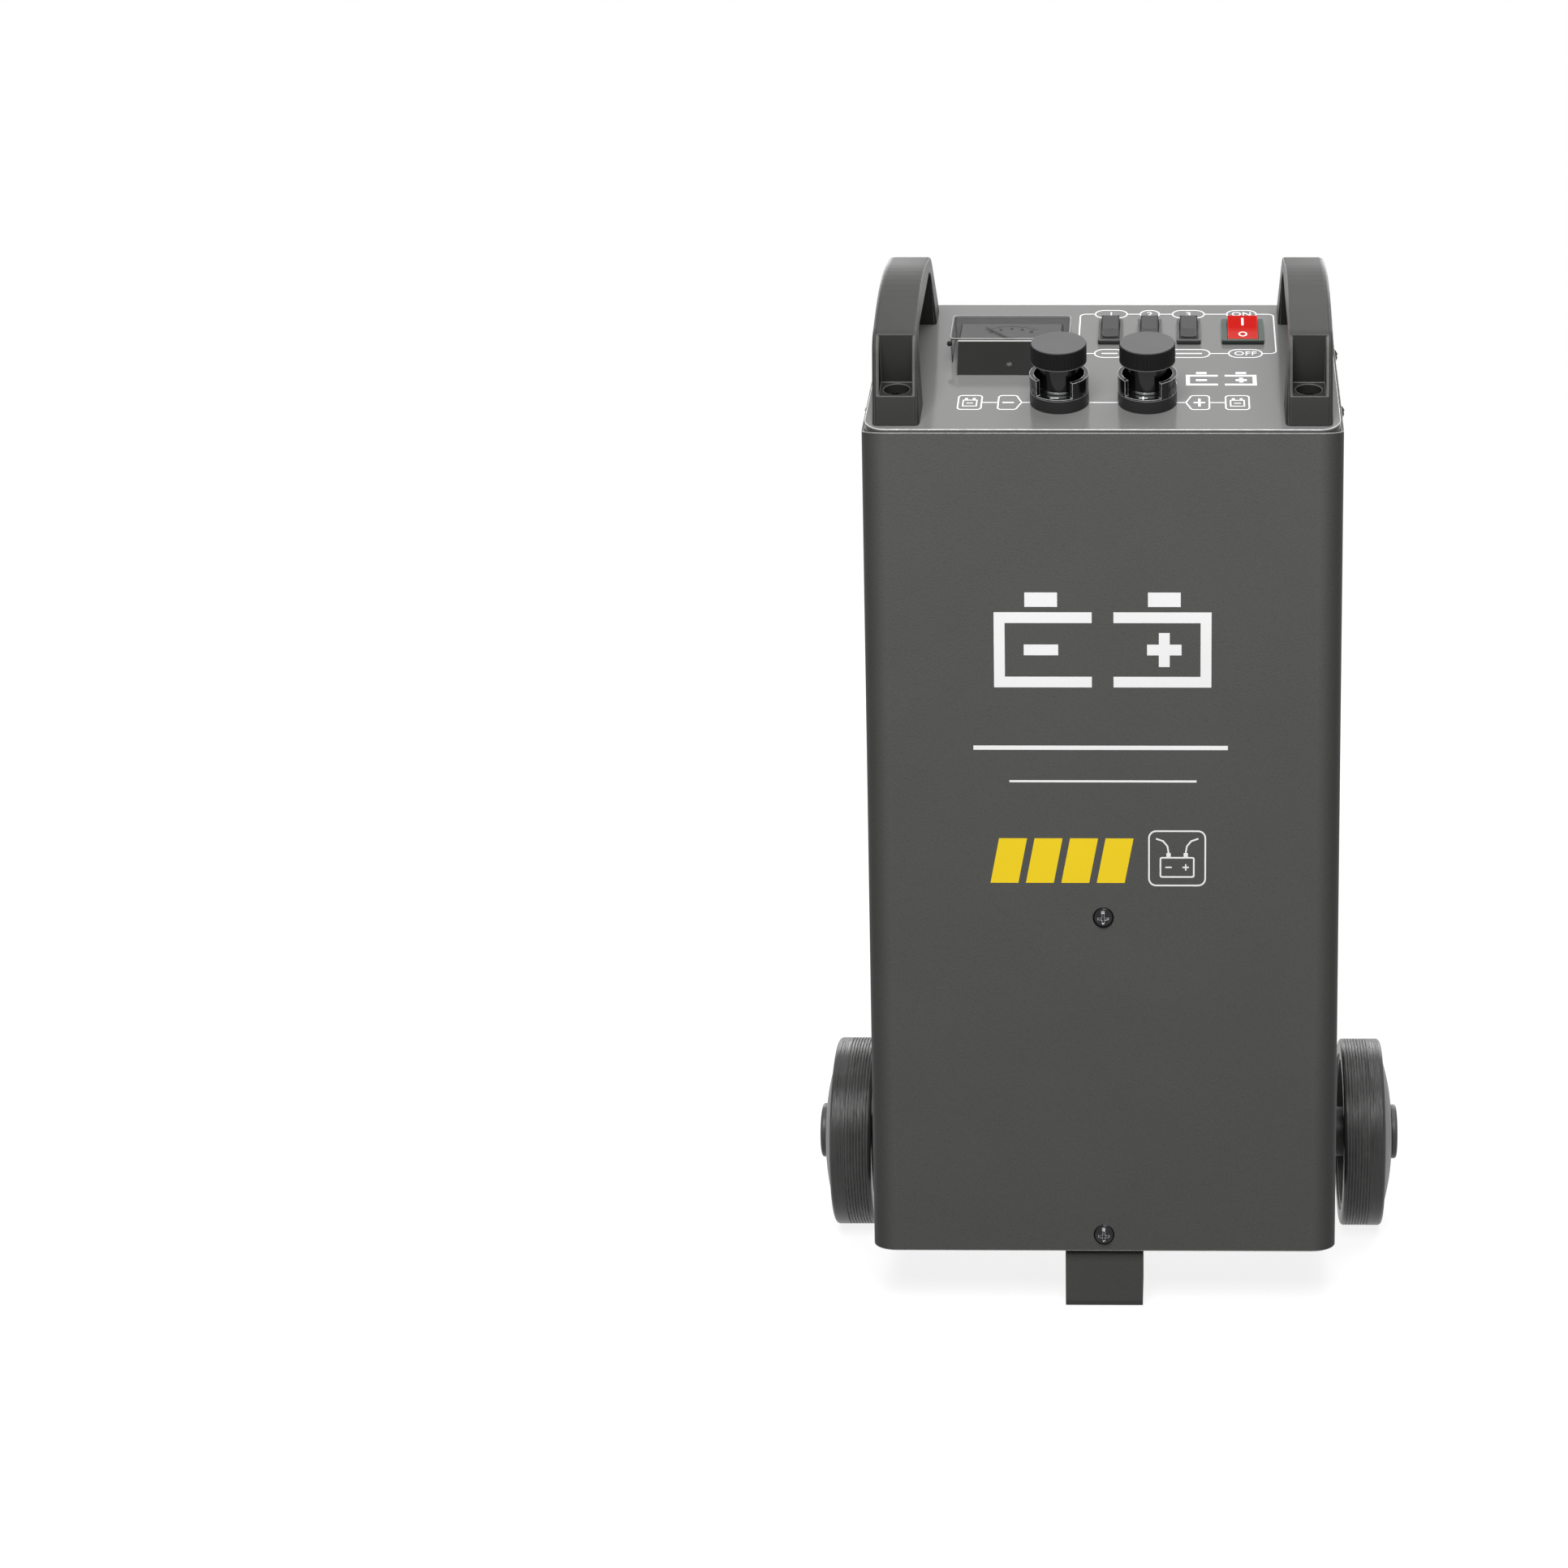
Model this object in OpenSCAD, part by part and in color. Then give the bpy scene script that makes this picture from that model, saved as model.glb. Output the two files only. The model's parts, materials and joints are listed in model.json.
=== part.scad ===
// Transformer battery charger on two wheels and a front foot.
// The casing is one folded sheet round the front and sides, closed by a base tray, a louvred rear
// panel and a sloped control panel that carries the meter, the switches, the posts and the handles.
// X runs to the right, Y to the back and Z up, with the origin on the floor under the middle.

/* [Casing] */
// Width of the folded casing
casing_w = 265; // [230:5:340]
// Depth of the casing from its front face to its rear lips
casing_d = 160; // [150:5:220]
// Height of the casing from its base to the front edge of the control panel
casing_h = 469.5; // [400:0.5:600]
// Height of the panel's surface above the casing's side edges
side_drop = 5; // [3:0.5:7]
// Thickness of the sheet metal
sheet_t = 1.5; // [1:0.1:2.5]
// Outer radius of the two upright bends at the front
bend_r = 14; // [8:1:16]
// Width of the return lips along the rear edges
rear_lip = 14; // [12:1:22]
// Height of the upturned rim of the base tray
tray_rim = 14; // [12:0.5:14]
// Width of a cooling slot in the base tray
vent_w = 5; // [3:0.5:8]
// Length of a cooling slot in the base tray
vent_l = 50; // [30:2:56]
// Distance between the middles of two cooling slots in the base tray
vent_pitch = 12; // [10:1:16]
// Distance of the outermost cooling slot from the casing's side
vent_side = 13.5; // [12:0.5:18]

/* [Rear louvres] */
// Width of a pressed louvre
louvre_w = 84; // [50:2:96]
// Height of a louvre's hood
louvre_h = 8; // [6:0.5:12]
// How far a louvre's hood stands out
louvre_out = 5; // [3:0.5:7]
// Distance between the lower edges of two louvres
louvre_pitch = 16; // [14:1:24]
// Distance of a louvre's middle from the centre plane
louvre_x = 54; // [50:1:66]
// Number of louvre rows in the upper field
upper_rows = 8; // [2:1:9]
// Number of louvre rows in the lower field
lower_rows = 5; // [2:1:6]
// Height of the upper field's lowest louvre above the base
upper_field = 330; // [250:5:340]
// Height of the lower field's lowest louvre above the base
lower_field = 70; // [60:5:100]

/* [Control panel] */
// Slope of the control panel in degrees
panel_slope = 20.6; // [12:0.1:26]
// Thickness of the control panel's sheet
panel_t = 1.5; // [1:0.1:2.5]
// Depth of the panel's skirt inside the casing
panel_skirt = 23; // [22:1:30]

/* [Handles] */
// Width of a handle
handle_w = 26; // [24:1:32]
// Length of a handle along the panel
handle_l = 161; // [154:1:163]
// Height of a handle above the panel
handle_h = 52.5; // [50:0.5:66]
// Distance of a handle's side from the casing's side
handle_inset = 6.4; // [5.5:0.1:12]
// Distance of the handles' front end from the panel's front edge
handle_front = 4; // [4:0.5:6]
// Radius of a handle's shoulders
shoulder_r = 17.5; // [12:0.5:22]
// How far a handle's end leans in for each millimetre of height
handle_splay = 0.52; // [0.3:0.01:0.6]
// Radius of the rounded crown along the top of a handle
crown_r = 147; // [120:1:400]
// Height from a handle's shoulder line to its top
shoulder_drop = 9; // [7:0.5:12]
// How far a handle's inner side leans out from the panel to the handle's top
handle_draft = 2.4; // [0:0.1:3]
// Radius of a handle's rounded edges
handle_edge = 3; // [1:0.5:4]
// Thickness of the grip at the top of a handle
grip_t = 12.7; // [9:0.1:15]
// Thickness of a handle's front leg at the panel
front_leg = 29; // [28:0.5:34]
// Thickness of a handle's rear leg at the panel
rear_leg = 24; // [16:0.5:27]
// Width of the screw pocket in a handle's front leg
pocket_w = 18.4; // [15:0.2:20]
// Depth of the pocket's back wall behind the handle's front end
pocket_back = 25.5; // [24:0.5:26]
// Height of the pocket's floor above the panel
pocket_floor = 14.5; // [12:0.5:16]
// Height of the pocket's top above the panel
pocket_top = 43; // [36:0.5:44]

/* [Foot and wheels] */
// Height of the casing's base above the floor
base_z = 36; // [30:1:45]
// Width of the front foot
foot_w = 44.3; // [30:0.1:90]
// Length of the front foot from front to back
foot_l = 42; // [36:1:60]
// Distance of the foot behind the casing's front face
foot_front = 4; // [2:0.5:12]
// Thickness of the foot's strap
foot_t = 3; // [2:0.5:4]
// Radius of the foot's bends
foot_bend = 5; // [4:0.5:8]
// Radius of a wheel over its tread
wheel_r = 57; // [50:0.5:62]
// Width of a wheel's tread
tread_w = 25; // [18:1:30]
// Thickness of the tread ring
tread_t = 9; // [6:0.5:12]
// Distance between the casing's side and the tread
wheel_gap = 10; // [8:0.5:24]
// Distance of the axle in front of the casing's rear edge
axle_back = 13; // [12:0.5:24]
// Radius of the axle
axle_r = 6; // [5:0.25:7]
// Radius of a wheel's hub
hub_r = 15; // [12:0.5:20]
// How far the wheel's dome stands out beyond the tread
dome_out = 6.2; // [4:0.1:12]
// Radius of a hub cap
cap_r = 16.5; // [14:0.5:22]
// Thickness of a hub cap
cap_t = 3.6; // [2.5:0.1:6]
// Width of a groove in the tread
groove_w = 0.8; // [0.5:0.1:1]
// Depth of a groove in the tread
groove_d = 0.8; // [0.4:0.1:2]
// Number of ribs on the hollow side of a wheel
wheel_ribs = 8; // [5:1:12]
// Thickness of a wheel's rib
rib_t = 2.5; // [2:0.1:4]
// Thickness of an axle bracket
bracket_t = 3; // [2:0.5:5]

/* [Binding posts] */
// Distance of a post from the centre plane
post_x = 24.4; // [21:0.1:40]
// Distance of the posts from the panel's front edge
post_u = 35.4; // [30:0.1:45]
// Radius of a post's skirt and collar
post_r = 16.4; // [15:0.1:20]
// Height of a post's skirt
skirt_h = 7.5; // [4:0.5:10]
// Height of the collar's rim above the panel
collar_h = 17.6; // [15:0.1:22]
// Thickness of the collar's wall
collar_t = 2.4; // [1.6:0.1:3]
// Opening angle of the collar's notch
notch_angle = 76; // [50:2:100]
// Angle of the notch's middle to the left of straight ahead
notch_turn = 10; // [0:1:30]
// Radius of the knob's shank
shank_r = 10.8; // [8:0.1:11.5]
// Radius of the knob's cap
knob_r = 15.4; // [14:0.1:20]
// Height of the cap's lower face above the panel
knob_low = 25; // [23:0.1:30]
// Height of the knob's top above the panel
knob_top = 35.8; // [34:0.1:46]
// Number of flutes round the knob
flutes = 48; // [20:1:48]
// Radius of a post's stud
stud_r = 4; // [3:0.25:5]
// Thickness of a clamp ring
ring_t = 1.5; // [1:0.1:2]

/* [Switches] */
// Length of a switch bezel along the panel
bezel_l = 30.8; // [30.6:0.1:36]
// Width of a small bezel
bezel_w = 14.1; // [13:0.1:16]
// Width of the large bezel
power_bezel_w = 24.6; // [21:0.1:28]
// Height of a bezel above the panel
bezel_h = 2.8; // [1.5:0.1:3]
// Width of a small rocker
rocker_w = 10.3; // [8:0.1:11]
// Width of the large rocker
power_rocker_w = 17.4; // [15:0.1:19]
// Half the length of a rocker
rocker_half = 12.5; // [11:0.1:12.6]
// Angle of a rocker from its middle position, to each side
rocker_tilt = 10; // [6:0.5:12]
// Distance of the switches' middle from the panel's front edge
switch_u = 128.2; // [120:0.1:136]
// Distance of the first small switch from the centre plane
switch_x = 2.2; // [0:0.1:3]
// Distance between two small switches
switch_pitch = 22.8; // [19:0.1:24]
// Distance of the large switch from the centre plane
power_x = 79.2; // [76:0.1:82]
// Depth of a switch case below the panel
case_deep = 22; // [16:1:30]

/* [Meter] */
// Distance of the meter's middle from the centre plane, to the left
meter_x = 54.2; // [53:0.1:58]
// Width of the meter's black front block
meter_w = 59.2; // [50:0.1:62]
// Width of the meter's clear cover
cover_w = 68; // [66:0.1:71]
// Distance of the meter's front from the panel's front edge
meter_u = 69.9; // [66:0.1:78]
// Length of the meter along the panel
meter_l = 50; // [48:0.5:54]
// Height of the meter's ridge above the panel
meter_h = 14.2; // [11:0.1:18]
// Length of the sloped front wall along the panel
meter_ramp = 16.7; // [12:0.1:18]
// Thickness of the clear cover
cover_t = 1; // [0.8:0.1:1.6]
// Depth of the meter's case below the panel
meter_deep = 30; // [26:1:44]
// Length of the pointer from its pivot to its tip
pointer_l = 21.5; // [16:0.5:22]
// Swing of the pointer, in degrees
pointer_swing = 84; // [60:2:90]

/* [Transformer and rectifier] */
// Width of the transformer's core
core_w = 150; // [120:2:160]
// Height of the core
core_h = 125; // [110:1:140]
// Thickness of the core's stack of laminations
core_d = 70; // [50:2:76]
// Width of the core's side limbs
limb_w = 25; // [20:1:27]
// Height of the feet that carry the core above the tray
core_foot = 8; // [6:1:14]
// Distance of the core's middle behind the casing's front face
core_y = 78; // [76:1:82]
// Height of the rectifier shelf's screw above the base
shelf_z = 196; // [180:1:240]
// Depth of the rectifier shelf
shelf_d = 70; // [50:1:90]
// Width of the rectifier shelf
shelf_w = 130; // [110:1:150]
// Width of a bus bar
bar_w = 14; // [10:1:18]
// Radius of a rectifier diode's press-fit body
diode_r = 6.4; // [5:0.1:8]

/* [Screws and gland] */
// Radius of a casing screw's domed head
head_r = 6; // [4.5:0.1:7]
// Height of a casing screw's domed head
head_h = 3.5; // [2:0.1:4.5]
// Radius of a casing screw's shank
screw_r = 2.5; // [2:0.1:3]
// Height of the lower front screw above the base
low_screw = 9.7; // [7.5:0.1:10.5]
// Distance of the side screws below the panel's surface
side_screw_drop = 16; // [14:0.5:18]
// Distance of the front side screws behind the casing's front face
side_screw_front = 60; // [40:1:80]
// Distance of the rear side screws behind the casing's front face
side_screw_rear = 132; // [110:1:140]
// Radius of the gland's bore for the mains lead
gland_bore = 4.5; // [3.5:0.1:5.5]
// Distance of the gland from the centre plane
gland_x = 80; // [60:1:100]
// Height of the gland above the base
gland_z = 32; // [26:1:40]

/* [Clearances] */
// Gap between the casing and the sheets inside it
sheet_gap = 0.3; // [0.2:0.05:0.6]
// Gap between neighbouring pieces that are not joined
side_gap = 0.3; // [0.2:0.05:0.5]
// Running clearance between a shaft and its bore
run_gap = 0.05; // [0.02:0.01:0.09]
// Clearance between a screw and its hole
screw_gap = 0.2; // [0.1:0.05:0.4]

/* [Hidden] */
$fn = 64;

far = 400;
fine = 0.01;
setback = sheet_t + sheet_gap;
edge_gap = 0.1;
edge_drop = panel_t + edge_gap;
front_edge_z = base_z + casing_h - edge_drop / cos(panel_slope);
panel_z = base_z + casing_h;
rear_z = panel_z + casing_d * tan(panel_slope);
axle_z = wheel_r;
axle_y = casing_d - axle_back;
tread_in = casing_w / 2 + wheel_gap;
tread_out = tread_in + tread_w;
dome_x = tread_out + dome_out;
cap_in = dome_x + side_gap;
axle_end = cap_in + cap_t - 1.4;
bush_r = axle_r + run_gap + 2;
spacer_in = casing_w / 2 + 1.5;
spacer_out = tread_in - 3;
front_y = -head_h;
back_y = axle_y + wheel_r;
mid_y = (front_y + back_y) / 2;

handle_x = casing_w / 2 - handle_inset - handle_w / 2;
handle_mid = handle_front + handle_l / 2;
pocket_u = handle_front + pocket_back - 9;
pocket_bevel = 1;
pocket_seat = pocket_floor - head_h - 2.5;
rear_screw_u = handle_front + handle_l - rear_leg / 2 - 1;

pivot_v = -1.6;
rocker_low = 3;
rocker_valley = 5.2;
rocker_end = 6.84;
rocker_reach = rocker_half + 1.1;
cavity_half = rocker_reach + side_gap - 0.2;
case_wall = 0.85;
case_half = cavity_half + case_wall;
trunnion_r = 1.2;
trunnion_l = 0.9;

floor_v = skirt_h + 1;
ring_v = floor_v + side_gap;
shank_v = ring_v + ring_t + side_gap;
stud_top = knob_top - 4;

meter_back = meter_u + meter_l;
ramp_angle = atan(meter_h / meter_ramp);
pointer_u = meter_u + meter_ramp + 4.5;
pointer_v = meter_h - 1.45;
scale_front = meter_u + meter_ramp + 2;
scale_back = meter_back - 4;
scale_fall = 1;
scale_t = 0.8;
case_edge_v = meter_h - 0.5;
meter_body_w = meter_w - 6;
meter_body_l = meter_l - 14;
meter_body_u = meter_u + 8;
zero_r = 1.2;
zero_place = 0.32;
pin_r = 0.9;
pin_deep = 19;

spigot_r = stud_r + 2;
spigot_deep = 4;
bar_t = 2;
bar_v = -spigot_deep - side_gap - bar_t;
nut_h = 6.5;

tray_top = base_z + sheet_t;
core_z = tray_top + core_foot;
window_h = core_h - 2 * limb_w;
window_w = (core_w - 4 * limb_w) / 2;
bobbin_gap = 0.3;
bobbin_t = 1.5;
flange_t = 1.8;
coil_in = bobbin_gap + bobbin_t;
coil_mid = window_w * 0.52;
coil_out = window_w - 1.2;
coil_h = window_h - 2 * flange_t - 4 * bobbin_gap;
vent_y = core_y - 5;
core_bracket_t = 2.5;
core_tab_w = 36;
core_tab_l = 18;

shelf_t = 3;
shelf_h = 28;
shelf_y = setback + sheet_gap;
shelf_low = base_z + shelf_z - shelf_h / 2;
shelf_top = shelf_low + shelf_t;

// Shapes that several pieces share

function unit(v) = v / norm(v);
function turned(a) = a > 180 ? a - 360 : a < -180 ? a + 360 : a;

// Points of a round corner of radius r at b, between the neighbours a and c
function corner(a, b, c, r, steps = 10) =
    r == 0 ? [b] :
    let (p = unit(a - b), q = unit(c - b), half = acos(p * q) / 2)
    let (centre = b + unit(p + q) * r / sin(half))
    let (start = b + p * r / tan(half) - centre, stop = b + q * r / tan(half) - centre)
    let (from = atan2(start[1], start[0]), sweep = turned(atan2(stop[1], stop[0]) - from))
    [for (i = [0:steps]) centre + r * [cos(from + sweep * i / steps), sin(from + sweep * i / steps)]];

// Outline through the points, each corner rounded with its own radius
function rounded(points, radii) =
    let (n = len(points))
    [for (i = [0:n - 1]) each corner(points[(i + n - 1) % n], points[i], points[(i + 1) % n], radii[i])];

// Puts the floor's middle at the origin
module in_place() {
    translate([0, -mid_y, 0]) children();
}

// Puts children on the sloped panel: X across, Y up the slope, Z square out of it
module on_slope() {
    translate([0, setback, panel_z]) rotate([panel_slope, 0, 0]) children();
}

module on_panel() {
    in_place() on_slope() children();
}

// Layer of the casing's space between two heights measured square to the panel
module slope_layer(low, high) {
    on_slope() translate([-far, -far, low]) cube([2 * far, 3 * far, high - low]);
}

// Runs a side-view outline, drawn in Y and Z, across the width w
module across(w) {
    rotate([90, 0, 90]) translate([0, 0, -w / 2]) linear_extrude(w) children();
}

// Plan of the casing, set in from its faces, with round front corners
module plan(inset, depth) {
    w = casing_w - 2 * inset;
    r = max(bend_r - inset, 1);
    translate([-w / 2, inset + r]) square([w, depth - inset - r]);
    translate([-w / 2 + r, inset]) square([w - 2 * r, r + 1]);
    for (side = [-1, 1]) {
        translate([side * (w / 2 - r), inset + r]) circle(r);
    }
}

// Rectangle with round corners, its middle at the origin
module round_rect(w, l, r) {
    square([w - 2 * r, l], center = true);
    square([w, l - 2 * r], center = true);
    for (sx = [-1, 1], sy = [-1, 1]) {
        translate([sx * (w / 2 - r), sy * (l / 2 - r)]) circle(r);
    }
}

// Domed cross-head screw: the head's seat at z = 0, the shank pointing down
module dome_screw(r, h, shank, length) {
    difference() {
        union() {
            intersection() {
                ball = (r * r + h * h) / (2 * h);
                translate([0, 0, h - ball]) sphere(ball);
                cylinder(h = h + 1, r = r);
            }
            translate([0, 0, -length]) cylinder(h = length + fine, r = shank);
        }
        for (a = [0, 90]) {
            rotate([0, 0, a]) translate([-r * 0.5, -r * 0.1, h * 0.45]) cube([r, r * 0.2, h]);
        }
    }
}

// Places of the side screws: distance behind the front face
side_screw_ys = [side_screw_front, side_screw_rear];

// Height at distance y behind the front face of a layer v above the panel, square to it
function slope_z(y, v) = panel_z + (y - setback) * tan(panel_slope) + v / cos(panel_slope);

// Side-view point at distance u up the panel's slope and v square out of it
function slope_point(u, v) = [
    setback + u * cos(panel_slope) - v * sin(panel_slope),
    panel_z + u * sin(panel_slope) + v * cos(panel_slope)
];

// Heights of the rear panel's screws above the base
rear_screw_zs = [casing_h * 0.1, casing_h * 0.4, casing_h * 0.7, casing_h];

front_screw_zs = [base_z + low_screw, base_z + shelf_z];

// Casing

module casing_wrap() {
    color("#4f4f4c") in_place() difference() {
        translate([0, 0, base_z]) linear_extrude(rear_z - base_z) difference() {
            plan(0, casing_d);
            plan(sheet_t, casing_d - sheet_t);
            translate([-casing_w / 2 + rear_lip, casing_d - 2 * sheet_t])
                square([casing_w - 2 * rear_lip, 4 * sheet_t]);
        }
        intersection() {
            slope_layer(-side_drop, far);
            translate([-far, -far, front_edge_z]) cube([2 * far, 3 * far, far]);
        }
        for (z = front_screw_zs) {
            translate([0, -1, z]) rotate([-90, 0, 0]) cylinder(h = 4, r = screw_r + screw_gap);
        }
        for (side = [-1, 1], y = side_screw_ys) {
            translate([side * casing_w / 2, y, slope_z(y, -side_screw_drop)]) rotate([0, 90, 0])
                cylinder(h = 4 * sheet_t, r = screw_r + screw_gap, center = true);
        }
        translate([0, axle_y, axle_z]) rotate([0, 90, 0])
            cylinder(h = casing_w + 10, r = bush_r, center = true);
        rear_screw_holes(screw_r - 0.5);
    }
}

// Holes for the rear panel's screws, in the rear lips and in the rear panel
module rear_screw_holes(r) {
    for (side = [-1, 1], z = rear_screw_zs) {
        translate([side * (casing_w / 2 - rear_lip / 2), casing_d - 5, base_z + z]) rotate([-90, 0, 0])
            cylinder(h = 10, r = r);
    }
}

module base_tray() {
    rim_back = casing_d - setback;
    color("#454543") in_place() difference() {
        translate([0, 0, base_z]) linear_extrude(tray_rim) plan(setback, rim_back);
        translate([0, 0, tray_top]) linear_extrude(tray_rim)
            plan(setback + sheet_t, rim_back - sheet_t);
        for (side = [-1, 1], i = [0:3]) {
            translate([side * (casing_w / 2 - vent_side - i * vent_pitch), vent_y, base_z - 1])
                linear_extrude(4) round_rect(vent_w, vent_l, vent_w / 2 - fine);
        }
        translate([0, 0, base_z + low_screw]) rotate([-90, 0, 0]) cylinder(h = 10, r = screw_r + screw_gap);
        translate([0, axle_y, axle_z]) rotate([0, 90, 0])
            cylinder(h = casing_w, r = bush_r + side_gap, center = true);
        foot_screw_places() translate([0, 0, -5]) cylinder(h = 10, r = screw_r + screw_gap);
        core_foot_places() translate([0, 0, -5]) cylinder(h = 10, r = screw_r + screw_gap);
    }
}

// One pressed louvre: a sloped hood, open below, with closed ends
module louvre_hood() {
    difference() {
        across(louvre_w) polygon([[0, 0], [louvre_out, 0], [louvre_out, 1], [0, louvre_h]]);
        across(louvre_w - 2 * sheet_t) polygon([
            [-1, -1], [louvre_out - sheet_t, -1], [louvre_out - sheet_t, 0.6], [0, louvre_h - sheet_t - 1],
            [-1, louvre_h - sheet_t - 1]
        ]);
    }
}

// Places of all louvres on the rear panel's outer face
module louvre_places() {
    for (side = [-1, 1]) {
        for (i = [0:upper_rows - 1]) {
            translate([side * louvre_x, 0, base_z + upper_field + i * louvre_pitch]) children();
        }
        for (i = [0:lower_rows - 1]) {
            translate([side * louvre_x, 0, base_z + lower_field + i * louvre_pitch]) children();
        }
    }
}

module rear_panel() {
    plate_w = casing_w - 2 * sheet_t;
    slot_h = louvre_h - sheet_t - 1;
    color("#454543") in_place() {
        difference() {
            translate([-plate_w / 2, casing_d, base_z]) cube([plate_w, sheet_t, rear_z - base_z]);
            slope_layer(-edge_drop, far);
            rear_screw_holes(screw_r + screw_gap);
            louvre_places() translate([-louvre_w / 2 + sheet_t, casing_d - 1, 0])
                cube([louvre_w - 2 * sheet_t, sheet_t + 2, slot_h]);
            translate([-gland_x, casing_d - 1, base_z + gland_z]) rotate([-90, 0, 0])
                cylinder(h = sheet_t + 2, r = gland_bore + 4);
        }
        louvre_places() translate([0, casing_d + sheet_t, 0]) louvre_hood();
    }
}

// Cut-out for a switch case round a rocker of the width w
module switch_cutout(x, w) {
    translate([x, switch_u])
        square([w + 2 * (side_gap + case_wall + screw_gap), 2 * (case_half + screw_gap)], center = true);
}

// Cut-outs of the control panel, drawn on its face
module panel_cutouts() {
    for (side = [-1, 1]) {
        translate([side * post_x, post_u]) circle(spigot_r + screw_gap);
        translate([side * handle_x, pocket_u]) circle(screw_r + screw_gap);
        translate([side * handle_x, rear_screw_u]) circle(screw_r + screw_gap);
    }
    for (i = [0:2]) {
        switch_cutout(switch_x + i * switch_pitch, rocker_w);
    }
    switch_cutout(power_x, power_rocker_w);
    translate([-meter_x - meter_body_w / 2 - screw_gap, meter_body_u - screw_gap])
        square([meter_body_w + 2 * screw_gap, meter_body_l + 2 * screw_gap]);
}

module control_panel() {
    skirt_back = casing_d - sheet_t - sheet_gap;
    color("#9a9a98") in_place() difference() {
        union() {
            intersection() {
                translate([0, 0, base_z]) linear_extrude(far * 2) plan(setback, casing_d + sheet_t);
                slope_layer(-panel_t, 0);
            }
            intersection() {
                translate([0, 0, base_z]) linear_extrude(far * 2) difference() {
                    plan(setback, skirt_back);
                    plan(setback + panel_t, skirt_back - panel_t);
                }
                slope_layer(-panel_skirt, -panel_t / 2);
            }
        }
        on_slope() translate([0, 0, -2 * panel_t]) linear_extrude(4 * panel_t) panel_cutouts();
        for (side = [-1, 1], y = side_screw_ys) {
            translate([side * casing_w / 2, y, slope_z(y, -side_screw_drop)]) rotate([0, 90, 0])
                cylinder(h = 10 * sheet_t, r = screw_r + screw_gap, center = true);
        }
    }
}

// Handles

// Side view of a handle without its opening, its middle on the panel at the origin
module handle_outline() {
    base = 6;
    half = handle_l / 2 + base * handle_splay;
    shoulder_y = handle_h - shoulder_drop;
    shoulder_x = handle_l / 2 - shoulder_y * handle_splay;
    crown_x = shoulder_x - shoulder_r;
    crown = [for (i = [6:-1:-6]) let (x = crown_x * i / 6)
        [x, handle_h - crown_r + sqrt(crown_r * crown_r - x * x)]];
    polygon(concat(
        [[-half, -base], [half, -base]],
        corner([half, -base], [shoulder_x, shoulder_y], crown[0], shoulder_r),
        crown,
        corner(crown[12], [-shoulder_x, shoulder_y], [-half, -base], shoulder_r)
    ));
}

// Side view of the opening for the hand
module grip_outline() {
    low = -10;
    front = -handle_l / 2 + front_leg;
    back = handle_l / 2 - rear_leg;
    high = handle_h - grip_t;
    lean = 0.16 * high;
    r = 15;
    polygon(rounded(
        [[front, low], [back, low], [back, 0], [back - lean, high], [front + lean, high], [front, 0]],
        [0, 0, 0, r, r, 0]
    ));
}

// Handle without its openings: round edges, and an inner side that leans out towards the top
module handle_shell(side) {
    half = handle_w / 2;
    lean = handle_draft * far / handle_h;
    intersection() {
        hull() {
            for (a = [0:30:90]) {
                across(handle_w - 2 * handle_edge * (1 - sin(a)))
                    offset(delta = -handle_edge * (1 - cos(a))) handle_outline();
            }
        }
        scale([side, 1, 1]) rotate([90, 0, 0]) linear_extrude(2 * far, center = true)
            polygon([[-half, 0], [half, 0], [half, far], [lean - half, far]]);
    }
}

// Side view of the front leg's skin at the pocket, the depth d thick
module pocket_band(d) {
    intersection() {
        difference() {
            offset(delta = 2) handle_outline();
            offset(delta = -d) handle_outline();
        }
        translate([-handle_l, pocket_floor]) square([handle_l / 2 + pocket_back, pocket_top - pocket_floor]);
    }
}

module handle(side) {
    bevel = 1.5;
    color("#4b4b49") on_panel() translate([side * handle_x, handle_mid, 0]) difference() {
        handle_shell(side);
        across(2 * handle_w) grip_outline();
        for (end = [-1, 1]) {
            hull() {
                translate([end * (handle_w / 2 + fine), 0, 0])
                    across(fine) offset(delta = bevel) grip_outline();
                translate([end * (handle_w / 2 - bevel), 0, 0])
                    across(fine) grip_outline();
            }
        }
        translate([-pocket_w / 2, -handle_l / 2 - 20, pocket_floor])
            cube([pocket_w, 20 + pocket_back, pocket_top - pocket_floor]);
        across(pocket_w + 2 * pocket_bevel) pocket_band(pocket_bevel / 2);
        across(pocket_w + pocket_bevel) pocket_band(pocket_bevel);
        translate([0, pocket_u - handle_mid, -1]) cylinder(h = pocket_floor, r = screw_r + screw_gap);
        translate([0, pocket_u - handle_mid, pocket_seat]) cylinder(h = pocket_floor, r = head_r + 1.2);
        translate([0, rear_screw_u - handle_mid, -1]) cylinder(h = 16, r = screw_r);
    }
}

module handle_left() {
    handle(-1);
}

module handle_right() {
    handle(1);
}

module handle_screws() {
    color("#8a8a8a") on_panel() for (side = [-1, 1]) {
        translate([side * handle_x, pocket_u, pocket_seat])
            dome_screw(head_r, head_h, screw_r, pocket_seat + panel_t + 5);
        translate([side * handle_x, rear_screw_u, -panel_t]) mirror([0, 0, 1])
            dome_screw(head_r - 1, head_h - 1, screw_r, 14);
    }
}

// Casing screws

module front_screws() {
    color("#707070") in_place() for (z = front_screw_zs) {
        translate([0, 0, z]) rotate([90, 0, 0]) dome_screw(head_r, head_h, screw_r, 9);
    }
}

module side_screws() {
    color("#5a5a5a") in_place() for (side = [-1, 1], y = side_screw_ys) {
        translate([side * casing_w / 2, y, slope_z(y, -side_screw_drop)]) rotate([0, side * 90, 0])
            dome_screw(head_r - 1, head_h - 0.5, screw_r, 8);
    }
}

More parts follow.
